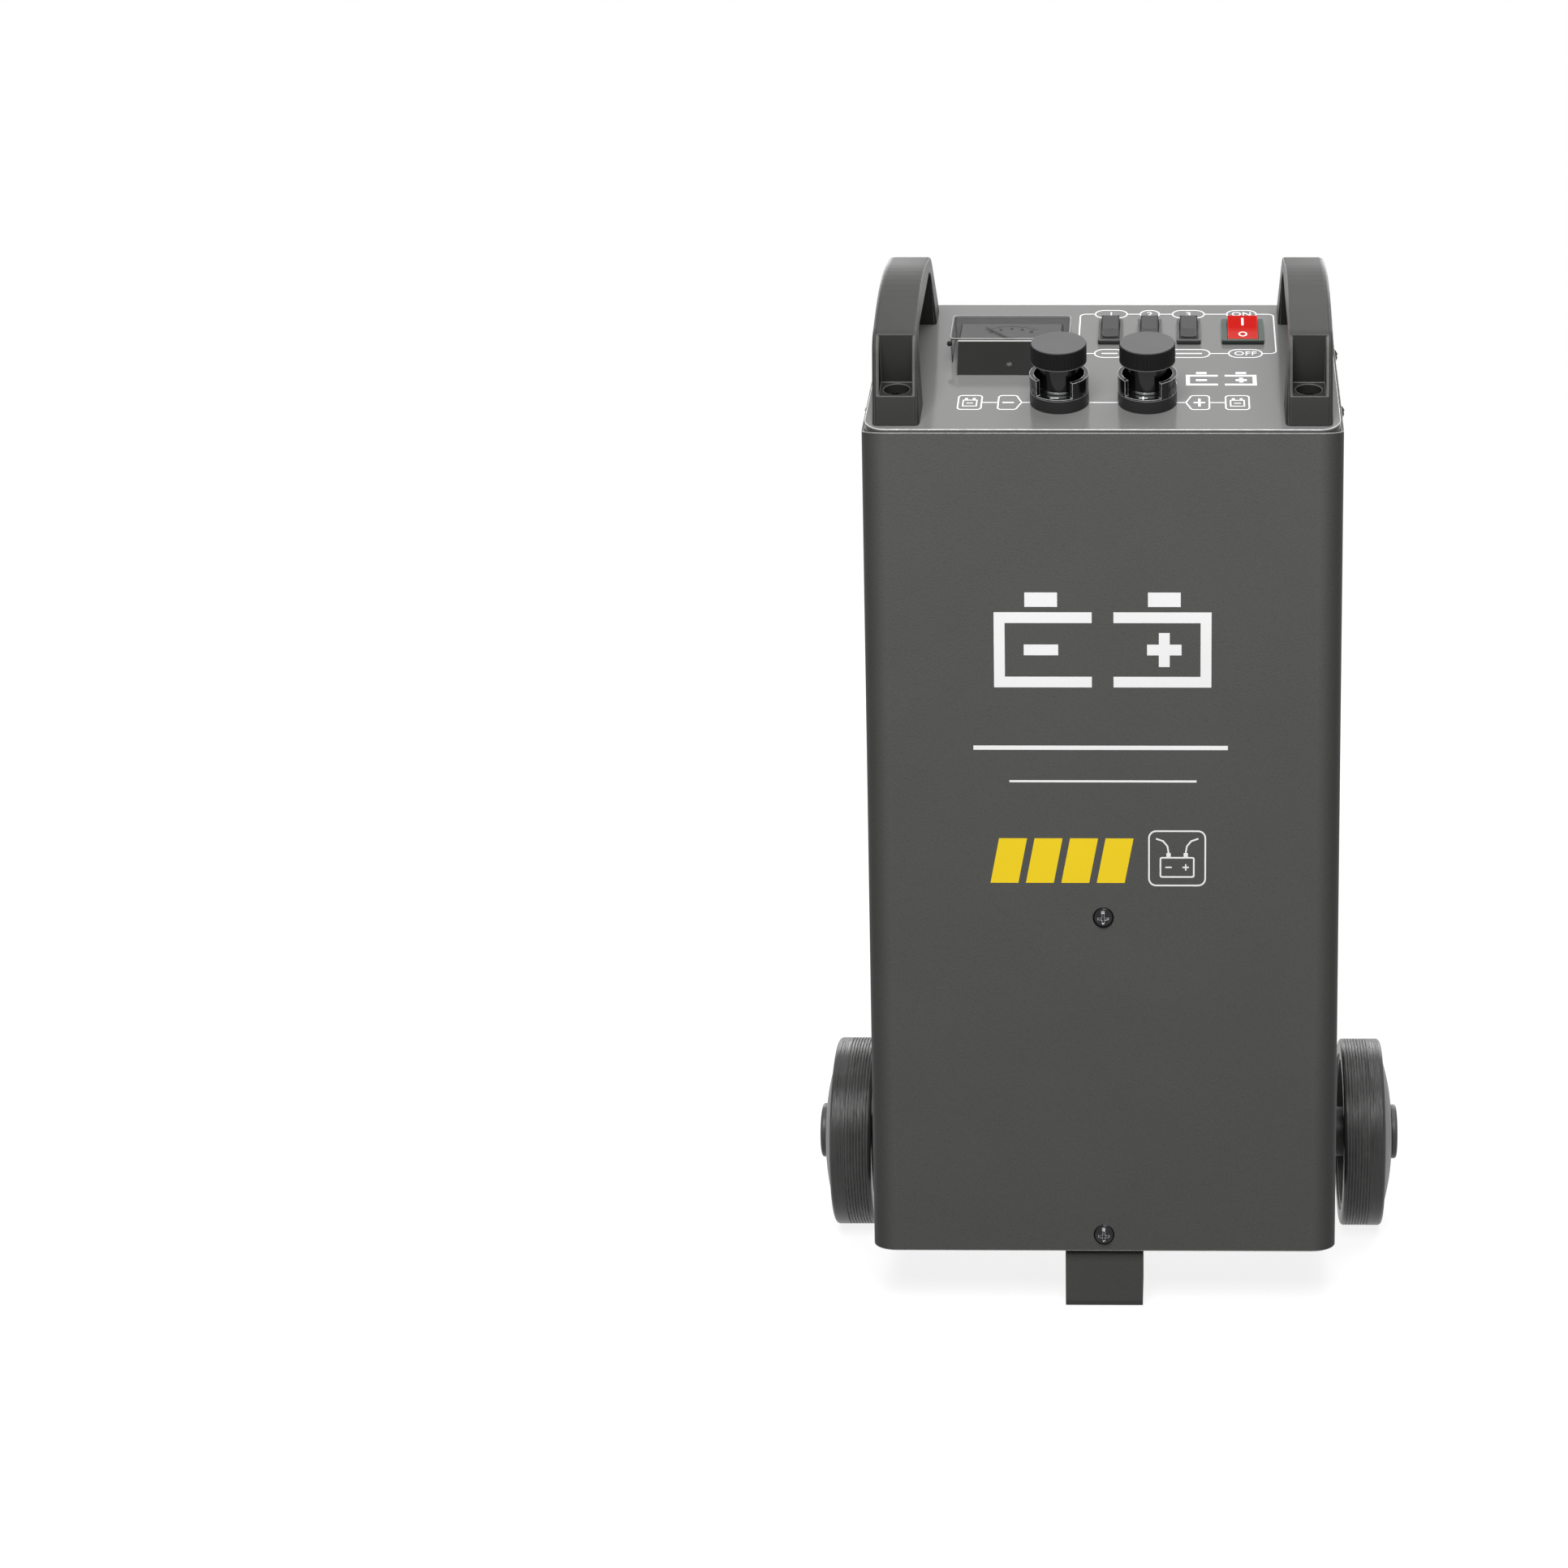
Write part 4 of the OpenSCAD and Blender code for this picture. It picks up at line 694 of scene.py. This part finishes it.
class ChargerStage(bpy.types.PropertyGroup):
    """Floor, lights and camera"""

    floor: colour_setting("Floor", "Pale studio floor", grey(0.22))
    world: amount_setting("World", "Strength of the light from all round", 0.085, 0, 2)
    key: amount_setting("Key lamp", "Power of the front lamp", 47, 0, 200, "POWER")
    top: amount_setting("Top lamp", "Power of the overhead lamp", 17, 0, 200, "POWER")
    rear: amount_setting("Rear lamps", "Power of each rear lamp", 15, 0, 200, "POWER")
    lens: amount_setting("Lens", "Focal length of the camera in millimetres", 66.06, 20, 200, "CAMERA")


# Operators: one for each group of like pieces, one for the stage


class CHARGER_OT_paint_sheet_metal(bpy.types.Operator):
    """Powder coat on the casing, its tray, rear panel and foot, and satin enamel on the control panel"""

    bl_idname = "charger.paint_sheet_metal"
    bl_label = "Paint Sheet Metal"

    def execute(self, context):
        paint = context.scene.charger_paint
        casing = tuple(paint.casing)
        dark = lighter(casing, 0.76)
        # The light edge colours paint highlights along the casing's edges, such as the bright line on its
        # top edge
        dress("casing_paint", "powder_coat", leather_base(casing, paint.dimples, paint.cells), 0.56,
              mottle=0.06, size=0.5, depth=0.01, spread=0.05, specular=0.11, edge=lighter(casing, 8),
              edge_amount=2.4, radius=0.5)
        dress("dark_paint", "powder_coat_dark", leather_base(dark, paint.dimples, paint.cells), 0.52,
              mottle=0.07, size=0.5, depth=0.01, specular=0.14, edge=lighter(dark, 3), edge_amount=0.6,
              radius=0.4)
        # The near-white edge colour paints the bright highlight along the panel's front fold
        dress("panel_paint", "panel_enamel", panel_base(paint.panel), 0.11, mottle=0.05, size=2.6,
              depth=0.005, spread=0.05, specular=0.36, edge=grey(0.95), edge_amount=2.6, radius=0.7)
        return {"FINISHED"}


class CHARGER_OT_mould_plastics(bpy.types.Operator):
    """Moulded skins on the handles, posts, switches, meter case, gland and bushes"""

    bl_idname = "charger.mould_plastics"
    bl_label = "Mould Plastics"

    def execute(self, context):
        paint = context.scene.charger_paint
        handle = tuple(paint.handle)
        # The light edge colour paints highlights along the handles' rounded edges
        dress("handle_plastic", "handle_moulding", handle_base(handle), 0.46, size=0.5, depth=0.03,
              mottle=0.1, specular=0.14, edge=lighter(handle, 6), edge_amount=1.4, radius=1.3)
        dress("knob_plastic", "knob_phenolic", knob_base, knob_rough, size=0.35, depth=0.006,
              specular=0.12, coat=knob_coat, coat_rough=0.06, radius=0.2)
        # The light edge colours paint highlights along the skirts' and the glossy collars' rims
        dress("skirt_plastic", "skirt_moulding", (0.024, 0.024, 0.0238), 0.42, size=0.4, depth=0.012,
              specular=0.2, edge=grey(0.3), edge_amount=1.0, radius=0.3)
        dress("collar_plastic", "collar_gloss", (0.006, 0.006, 0.0065), 0.14, size=3.0, depth=0.006,
              mottle=0.2, specular=0.3, coat=0.4, coat_rough=0.05, edge=(0.75, 0.75, 0.77),
              edge_amount=2.2, radius=0.35)
        dress("switch_plastic", "bezel_moulding", bezel_base((0.075, 0.076, 0.075)), 0.4, size=0.4,
              depth=0.008, specular=0.2, edge=grey(0.16), radius=0.45)
        CAD["power_case"].data.materials[0] = skin_material(
            "power_bezel_moulding", bezel_base((0.060, 0.078, 0.067)), 0.36, size=0.4, depth=0.008,
            specular=0.2, edge=(0.13, 0.17, 0.14), radius=0.45)
        dress("rocker_plastic", "rocker_moulding", grey(0.012), 0.4, size=0.4, depth=0.008, specular=0.15,
              edge=grey(0.05), edge_amount=0.5, radius=0.4)
        dress("rocker_red", "rocker_red_moulding", red_base(paint.power), 0.22, size=2.0, depth=0.004,
              mottle=0.06, specular=0.02, edge=(0.85, 0.16, 0.12), edge_amount=0.8, radius=0.5)
        dress("meter_plastic", "meter_moulding", meter_base, 0.5, size=0.5, depth=0.012, specular=0.07,
              edge=grey(0.25), edge_amount=1.2, radius=0.35)
        dress("scale_paint", "scale_lacquer", grey(0.33), 0.6, size=0.6, depth=0.004, mottle=0.06,
              specular=0.1, radius=0.1)
        dress("pointer_paint", "pointer_lacquer", grey(0.15), 0.5, size=0.3, depth=0.002, radius=0.1)
        dress("nylon_dark", "nylon_black", grey(0.02), 0.48, size=0.5, depth=0.015, specular=0.35,
              edge=grey(0.07))
        dress("nylon_pale", "nylon_natural", (0.62, 0.57, 0.45), 0.45, size=0.6, depth=0.01, mottle=0.12,
              edge=(0.75, 0.72, 0.62))
        return {"FINISHED"}


class CHARGER_OT_finish_metals(bpy.types.Operator):
    """Plated, turned and drawn metals of the screws, studs, axle, windings and shelf"""

    bl_idname = "charger.finish_metals"
    bl_label = "Finish Metals"

    def execute(self, context):
        # The near-white edge colour paints glints along the screw heads and their cross recesses
        clad("screw_dark", "black_nickel", (0.032, 0.032, 0.034), 0.13, depth=0.004, spread=0.5,
             edge=(0.85, 0.85, 0.87))
        CAD["meter_zero_screw"].data.materials[0] = metal_material(
            "dull_nickel", grey(0.03), 0.4, depth=0.002, edge=grey(0.12))
        clad("screw_plated", "zinc_plate", (0.55, 0.56, 0.57), 0.28, depth=0.005)
        CAD["handle_screws"].data.materials[0] = metal_material(
            "black_oxide", (0.035, 0.035, 0.036), 0.3, depth=0.004)
        clad("steel", "drawn_steel", grey(0.48), 0.3, stretch=(1, 60, 60))
        clad("stud_brass", "turned_brass", (0.72, 0.50, 0.18), 0.25, stretch=(4, 4, 80))
        clad("aluminium", "mill_aluminium", (0.74, 0.74, 0.75), 0.34, stretch=(2, 70, 70))
        clad("lamination", "varnished_laminations", (0.085, 0.085, 0.10), 0.42, stretch=(0.5, 90, 0.5),
             depth=0.12, spread=0.5, metallic=0.7)
        clad("copper", "enamelled_copper", (0.60, 0.21, 0.07), 0.26, stretch=(2, 2, 60), depth=0.25,
             spread=0.3)
        return {"FINISHED"}


class CHARGER_OT_dress_wheels(bpy.types.Operator):
    """Moulded wheel centres, hub caps and dull treads with mould lines round them"""

    bl_idname = "charger.dress_wheels"
    bl_label = "Dress Wheels"

    def execute(self, context):
        wheel = tuple(context.scene.charger_paint.wheel)
        # The lighter edge colours paint highlights along the wheels' rims and tread edges
        dress("wheel_plastic", "wheel_moulding", lined_base(wheel, (14, 0.4, 0.4), 0.05, 0.3), 0.42,
              size=0.6, depth=0.02, mottle=0.12, specular=0.4, edge=lighter(wheel, 3), edge_amount=0.5,
              radius=0.5)
        dress("tread_rubber", "tread_rubber", lined_base(lighter(wheel, 0.6), (22, 0.5, 0.5), 0.5, 0.7),
              0.33, size=1.1, depth=0.05, mottle=0.16, spread=0.2, specular=0.38, edge=lighter(wheel, 3),
              edge_amount=0.6, radius=0.5)
        return {"FINISHED"}


class CHARGER_OT_glaze_meter(bpy.types.Operator):
    """Clear moulding of the meter's cover, and the pivots at its front corners"""

    bl_idname = "charger.glaze_meter"
    bl_label = "Glaze Meter"

    def execute(self, context):
        give("meter_clear", self.clear_moulding())

        bm = bmesh.new()
        pivot_x, pivot_u, pivot_v = COVER_W / 2 + 0.4, COVER_FRONT + 0.2, METER_H - 2.2
        for side in (-1, 1):
            for v in bmesh.ops.create_icosphere(bm, subdivisions=3, radius=1.5)["verts"]:
                x, y, z = v.co
                v.co = on_panel(METER_X + side * pivot_x + x, pivot_u + y, pivot_v + z)
        finish_piece("cover_pivots", bm, CAD["meter_case"].data.materials[0], "charger")
        return {"FINISHED"}

    def clear_moulding(self):
        """Clear plastic whose outer rims are painted light as highlights and inner ones painted dark as
        shade
        """
        material, tree, shader = bare_material("clear_cover")
        place = use_group(tree, "Panel Place")
        beside = calc(tree, "ABSOLUTE", calc(tree, "SUBTRACT", place["Across"], METER_X))
        outer = calc(tree, "GREATER_THAN", place["Out"], METER_H + 0.6)
        for value, wall in ((beside, COVER_W / 2 - 0.5), (place["Up"], COVER_BACK - 0.5)):
            outer = calc(tree, "MAXIMUM", outer, calc(tree, "GREATER_THAN", value, wall))
        # Painted highlight on the outer rims and painted shade on the inner ones
        painted_rim = blend(tree, outer, rgba(grey(0.004)), rgba(grey(0.62)))
        edge = use_group(tree, "Edge Highlight and Wear", Colour=rgba(grey(0.012)), Edge_Colour=painted_rim, Width=1.0,
                         Amount=3.0)
        skin = use_group(tree, "Skin Grain", Colour=edge["Colour"], Mottle=0.03, Grain_Size=2.0,
                         Grain_Depth=0.002, Roughness=0.05, Gloss_Spread=0.02, Edge_Radius=0.3)
        wear_skin(tree, skin, shader)
        tree.links.new(calc(tree, "MULTIPLY_ADD", edge["Mask"], 0.62, 0.31), shader.inputs["Alpha"])
        shader.inputs["Specular IOR Level"].default_value = 0.3
        return material


def battery_sign(bm, place, x, y, scale, weight):
    """Generic battery sign: two halves of a frame, two poles, a minus and a plus"""
    inner, half_x, half_y, arm = 6 * scale, 57.0 * scale, 18.0 * scale, 9.5 * scale
    pole_w, pole_h = 9 * scale, 8 * scale
    for side in (-1, 1):
        near, far, pole = x + side * inner, x + side * half_x, x + side * 34 * scale
        line_solid(bm, [(near, y - half_y), (far, y - half_y), (far, y + half_y), (near, y + half_y)],
                   weight, place)
        top = y + half_y + weight
        plate_solid(bm, box_outline(pole - pole_w, top, pole + pole_w, top + pole_h), place)
        sign_solid(bm, pole, y, arm, weight, place, arm if side > 0 else 0.0)


def pill(x, half_x, u, half_u):
    """Outline of a label with round ends on the panel"""
    return round_box(x - half_x, u - half_u, x + half_x, u + half_u, min(half_x, half_u) - 0.1)


class CHARGER_OT_print_panel(bpy.types.Operator):
    """White lines, pills and signs on the control panel"""

    bl_idname = "charger.print_panel"
    bl_label = "Print Panel"

    def execute(self, context):
        width = context.scene.charger_print.line
        ink = print_ink("panel_ink", context.scene.charger_print.white)
        bm = bmesh.new()
        self.frame_round_switches(bm, width)
        self.icon_row(bm, width)
        battery_sign(bm, on_panel, 65.9, 64.0, 0.33, 2.2)
        finish_piece("panel_print", bm, ink, "charger")

        bm = bmesh.new()
        for side in (-1, 1):
            sign_solid(bm, side * POST_X - 2.2, POST_U - 13.4, 2.4, 0.9, on_notch, 1.9 if side > 0 else 0.0)
        finish_piece("polarity_marks", bm, ink, "charger")
        return {"FINISHED"}

    def frame_round_switches(self, bm, width):
        """Frame round the switches, broken by pills that hold their signs"""
        half_u, letter = 5.6, 7.6
        for u, pills in ((FRAME_HIGH, TOP_PILLS), (FRAME_LOW, LOW_PILLS)):
            edge = FRAME_LEFT + FRAME_R
            for x, half in pills:
                line_solid(bm, [(edge, u), (x - half, u)], width, on_panel)
                line_solid(bm, pill(x, half, u, half_u), width, on_panel, closed=True)
                edge = x + half
            line_solid(bm, [(edge, u), (FRAME_RIGHT - FRAME_R, u)], width, on_panel)
        for side, x in ((1, FRAME_RIGHT), (-1, FRAME_LEFT)):
            turn = [(x - side * FRAME_R + side * px, py) for px, py in (
                arc(0, FRAME_LOW + FRAME_R, FRAME_R, -90, 0, 6)
                + arc(0, FRAME_HIGH - FRAME_R, FRAME_R, 0, 90, 6))]
            line_solid(bm, turn, width, on_panel)
        signs = [("ON", SWITCHES[3], FRAME_HIGH), ("OFF", OFF_X, FRAME_LOW)]
        signs += [(word, x, FRAME_HIGH) for word, x in zip("123", SWITCHES)]
        for word, x, u in signs:
            glyph_solid(bm, word, letter, on_panel, x, u)
        for x, half in ((SWITCHES[0], 4.6), (SWITCHES[2], 7.5)):
            line_solid(bm, [(x - half, FRAME_LOW), (x + half, FRAME_LOW)], width * 1.6, on_panel)

    def icon_row(self, bm, width):
        """Row of generic signs that leads to the two posts"""
        low, high = ICON_U - ICON_HALF_U, ICON_U + ICON_HALF_U
        for x, point in ((BATTERY_ICONS[0], 0), (-51.9, 1), (52.3, -1), (BATTERY_ICONS[1], 0)):
            left = x - ICON_HALF_X + ICON_TIP * (point < 0)
            right = x + ICON_HALF_X - ICON_TIP * (point > 0)
            outline = round_box(left, low, right, high, 2.2)
            if point:
                quarter = len(outline) // 4
                outline.insert(quarter if point > 0 else 3 * quarter, (x + point * ICON_HALF_X, ICON_U))
            line_solid(bm, outline, width, on_panel, closed=True)
        clear = 16  # the line stops this far from each post's middle
        for left, right in ((-67.7, -58.4), (-45.4, -POST_X - clear), (clear - POST_X, POST_X - clear),
                            (POST_X + clear, 45.8), (58.8, 67.9)):
            line_solid(bm, [(left, ICON_U), (right, ICON_U)], width, on_panel)
        for x, rise in ((-52.9, 0.0), (53.3, 5.0)):
            sign_solid(bm, x, ICON_U, 3.2, width * 1.7, on_panel, rise)
        for x in BATTERY_ICONS:
            line_solid(bm, box_outline(x - 3.8, ICON_U - 4.6, x + 3.8, ICON_U + 3.0), width * 0.9, on_panel,
                       closed=True)
            for pole in (x - 2.2, x + 2.2):
                line_solid(bm, [(pole, ICON_U + 3.4), (pole, ICON_U + 5.6)], width * 2, on_panel)
            sign_solid(bm, x, ICON_U - 0.8, 1.9, width, on_panel)


class CHARGER_OT_print_front(bpy.types.Operator):
    """Generic battery sign, stripes, level bars and pictogram on the casing's front"""

    bl_idname = "charger.print_front"
    bl_label = "Print Front"

    def execute(self, context):
        ink = context.scene.charger_print
        bm = bmesh.new()
        battery_sign(bm, on_front, 0.0, 384.0, 1.0, 6.0)
        for left, right, z, width in STRIPES:
            line_solid(bm, [(left, z), (right, z)], width, on_front)
        self.pictogram(bm)
        finish_piece("front_print", bm, print_ink("front_ink", ink.white), "charger")

        bm = bmesh.new()
        for i in range(4):
            x = BAR_LEFT + i * (BAR_W + BAR_GAP)
            plate_solid(bm, [(x, BAR_LOW), (x + BAR_W, BAR_LOW), (x + BAR_W + BAR_LEAN, BAR_HIGH),
                             (x + BAR_LEAN, BAR_HIGH)], on_front)
        finish_piece("level_print", bm, print_ink("yellow_ink", ink.yellow), "charger")
        return {"FINISHED"}

    def pictogram(self, bm):
        """Battery with its two leads in a round-cornered frame"""
        width, pole_low, pole_high = 0.9, 266.9, 269.2
        line_solid(bm, round_box(25.6, 250.6, 57.0, 281.7, 4.0), width, on_front, closed=True)
        line_solid(bm, round_box(32.0, 255.5, 50.6, 266.5, 0.8, 2), width, on_front, closed=True)
        for x, side in ((36.5, -1), (46.1, 1)):
            line_solid(bm, [(x, pole_low), (x, pole_high)], 2.4, on_front)
            lead = ((0.0, pole_high), (0.6, 273.0), (3.0, 276.0), (7.0, 277.4))
            line_solid(bm, [(x + side * reach, z) for reach, z in lead], width, on_front)
            sign_solid(bm, x, 261.0, 1.8, 0.8, on_front, 1.8 if side > 0 else 0.0)


class CHARGER_OT_print_scale(bpy.types.Operator):
    """Arc, ticks and numbers of the meter's scale"""

    bl_idname = "charger.print_scale"
    bl_label = "Print Scale"

    def execute(self, context):
        bm = bmesh.new()
        bold, fine, ticks, root = 0.35, 0.22, 16, SCALE_R + 0.2
        line_solid(bm, [self.mark(SCALE_R, 1 - i / 28) for i in range(29)], bold, on_scale)
        for i in range(ticks + 1):
            tip, width = (root + 2.0, bold) if i % 4 == 0 else (root + 1.1, fine)
            line_solid(bm, [self.mark(root, i / ticks), self.mark(tip, i / ticks)], width, on_scale)
        for i, digit in enumerate("02468"):
            glyph_solid(bm, digit, 4.6, on_scale, *self.mark(SCALE_R - 3.8, i / 4), bold=0.14)
        finish_piece("scale_print", bm, print_ink("scale_ink", grey(0.010)), "charger")
        return {"FINISHED"}

    def mark(self, r, share):
        """Place of a mark at that radius and share of the scale"""
        angle = math.radians(SCALE_FIRST - SCALE_SPAN * share)
        return r * math.cos(angle), POINTER_U + r * math.sin(angle)


def rocker_place(x0):
    """Place on a rocker's two sloped faces at rest: x from its middle, d behind its pivot"""
    middle, end, half_length = 5.2, 6.84, 12.5
    def place(x, d, out):
        height = middle + abs(d) * (end - middle) / half_length + out
        u = SWITCH_U + d * math.cos(ROCKER_TILT) - height * math.sin(ROCKER_TILT)
        v = PIVOT_V + d * math.sin(ROCKER_TILT) + height * math.cos(ROCKER_TILT)
        return on_panel(x0 + x, u, v)
    return place


class CHARGER_OT_trim_rockers(bpy.types.Operator):
    """Raised thumb pads on the black rockers, and signs I and O on the red mains rocker"""

    bl_idname = "charger.trim_rockers"
    bl_label = "Trim Rockers"

    def execute(self, context):
        # Painted light: the pads on the rockers' upward faces are painted lighter than the rocker's own
        # black, with light edges as highlights
        skin = skin_material("rocker_pad", (0.031, 0.031, 0.0315), 0.38, size=0.4, depth=0.01,
                             specular=0.22, edge=grey(0.17), edge_amount=0.6, radius=0.35)
        half, front, rear, r, rise = 4.35, -10.6, 11.2, 1.9, 0.55
        lower = arc(r - half, front + r, r, 180, 270, 5) + arc(half - r, front + r, r, 270, 360, 5)
        upper = arc(half - r, rear - r, r, 0, 90, 5) + arc(r - half, rear - r, r, 90, 180, 5)
        for i, x0 in enumerate(SWITCHES[:3], 1):
            bm = bmesh.new()
            plate_solid(bm, lower + [(half, -0.15), (-half, -0.15)], rocker_place(x0), high=rise)
            plate_solid(bm, [(-half, 0.0), (half, 0.0)] + upper, rocker_place(x0), high=rise)
            finish_piece(f"rocker_pad_{i}", bm, skin, f"select_rocker_{i}")
        bm = bmesh.new()
        place = rocker_place(SWITCHES[3])
        line_solid(bm, [(0, 3.2), (0, 9.6)], 1.3, place)
        ring = [(2.1 * x, -6.6 + 2.6 * y) for x, y in arc(0, 0, 1, 0, 345, 23)]
        line_solid(bm, ring, 0.9, place, closed=True)
        finish_piece("rocker_marks", bm, print_ink("rocker_ink", (0.88, 0.86, 0.84)),
                     "power_rocker")
        return {"FINISHED"}


def area_light(name, place, target, size, watts):
    """Soft square lamp that looks at a point"""
    lamp = bpy.data.lights.new(name, "AREA")
    lamp.size, lamp.energy = size, watts
    holder = bpy.data.objects.new(name, lamp)
    holder.location = place
    holder.rotation_euler = (Vector(target) - Vector(place)).to_track_quat("-Z", "Y").to_euler()
    bpy.context.scene.collection.objects.link(holder)


def seen_or_mirrored(tree):
    """Share of the rays that come from the camera, a mirror or clear glass"""
    path = put(tree, "ShaderNodeLightPath").outputs
    other = calc(tree, "MAXIMUM", path["Is Glossy Ray"], path["Is Transmission Ray"])
    return calc(tree, "MAXIMUM", path["Is Camera Ray"], other)


class CHARGER_OT_stage(bpy.types.Operator):
    """Pale floor, soft lamps, white surroundings and the camera"""

    bl_idname = "charger.stage"
    bl_label = "Stage"

    def execute(self, context):
        scene = context.scene
        stage = scene.charger_stage
        self.floor(scene, stage)
        self.surroundings(scene, stage)
        area_light("key", (-0.12, -1.45, 1.72), (0, 0, 0.35), 1.1, stage.key)
        area_light("top", (0.25, 0.15, 2.1), (0, 0, 0.4), 1.2, stage.top)
        for side in (-1, 1):
            area_light(f"rear_{side}", (side * 0.8, 1.9, 1.15), (0, 0.2, 0.35), 1.0, stage.rear)
        self.camera(scene, stage)
        scene.view_settings.view_transform = "Standard"
        return {"FINISHED"}

    def floor(self, scene, stage):
        """Round floor that fades into the white round it and keeps the shadow"""
        bm = bmesh.new()
        bmesh.ops.create_circle(bm, cap_ends=True, radius=6.0, segments=96)
        mesh = bpy.data.meshes.new("floor")
        bm.to_mesh(mesh)
        bm.free()
        floor = bpy.data.objects.new("floor", mesh)
        scene.collection.objects.link(floor)
        material, tree, shader = bare_material("studio_floor")
        shader.inputs["Base Color"].default_value = rgba(stage.floor)
        shader.inputs["Roughness"].default_value = 0.8
        shader.inputs["Specular IOR Level"].default_value = 0.0
        lift = put(tree, "ShaderNodeEmission", {"Color": (1, 1, 1, 1)})
        reach = vector_calc(tree, "LENGTH", object_place(tree), output=1)
        glow = between(tree, reach, 0.4, 2.6, first=0.86)
        tree.links.new(times(tree, seen_or_mirrored(tree), glow), lift.inputs["Strength"])
        both = put(tree, "ShaderNodeAddShader", {0: shader.outputs[0], 1: lift.outputs[0]})
        tree.links.new(both.outputs[0], tree.nodes["Material Output"].inputs["Surface"])
        mesh.materials.append(material)

    def surroundings(self, scene, stage):
        """World that is white to the camera and dim to the surfaces it lights"""
        scene.world = bpy.data.worlds.new("studio")
        scene.world.use_nodes = True
        tree = scene.world.node_tree
        backdrop = tree.nodes["Background"]
        backdrop.inputs["Color"].default_value = (1, 1, 1, 1)
        level = calc(tree, "MULTIPLY_ADD", seen_or_mirrored(tree), 1.0 - stage.world, stage.world)
        tree.links.new(level, backdrop.inputs["Strength"])

    def camera(self, scene, stage):
        """Camera in front of the charger, looking a little down on it"""
        camera = bpy.data.cameras.new("camera")
        camera.lens, camera.sensor_width = stage.lens, 36.0
        camera.shift_x, camera.shift_y = CAMERA_SHIFT
        holder = bpy.data.objects.new("camera", camera)
        holder.location = CAMERA_PLACE
        flat, down = math.cos(CAMERA_PITCH), math.sin(CAMERA_PITCH)
        ahead = Vector((-math.sin(CAMERA_YAW) * flat, math.cos(CAMERA_YAW) * flat, -down))
        holder.rotation_euler = ahead.to_track_quat("-Z", "Y").to_euler()
        scene.collection.objects.link(holder)
        scene.camera = holder


OPERATORS = (
    CHARGER_OT_paint_sheet_metal, CHARGER_OT_mould_plastics, CHARGER_OT_finish_metals,
    CHARGER_OT_dress_wheels, CHARGER_OT_glaze_meter, CHARGER_OT_print_panel, CHARGER_OT_print_front,
    CHARGER_OT_print_scale, CHARGER_OT_trim_rockers, CHARGER_OT_stage,
)


class CHARGER_PT_sidebar(bpy.types.Panel):
    """Lists the charger's settings and the steps that dress it"""

    bl_idname = "CHARGER_PT_sidebar"
    bl_label = "Battery Charger"
    bl_space_type = "VIEW_3D"
    bl_region_type = "UI"
    bl_category = "Charger"

    def draw(self, context):
        layout = self.layout
        for group, kind in GROUPS.items():
            box = layout.box()
            for name in kind.__annotations__:
                box.prop(getattr(context.scene, group), name)
        for operator in OPERATORS:
            layout.operator(operator.bl_idname)


GROUPS = {"charger_paint": ChargerPaint, "charger_print": ChargerPrint, "charger_stage": ChargerStage}


def register():
    """Registers the classes and hangs the settings on the scene"""
    for cls in (*GROUPS.values(), *OPERATORS, CHARGER_PT_sidebar):
        bpy.utils.register_class(cls)
    for name, cls in GROUPS.items():
        setattr(bpy.types.Scene, name, bpy.props.PointerProperty(type=cls))


def unregister():
    """Takes away what register adds"""
    for name in GROUPS:
        delattr(bpy.types.Scene, name)
    for cls in (CHARGER_PT_sidebar, *reversed(OPERATORS), *reversed(list(GROUPS.values()))):
        bpy.utils.unregister_class(cls)


def main():
    """Registers the add-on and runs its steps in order"""
    register()
    for operator in OPERATORS:
        family, name = operator.bl_idname.split(".")
        getattr(getattr(bpy.ops, family), name)()


if __name__ == "__main__":
    main()
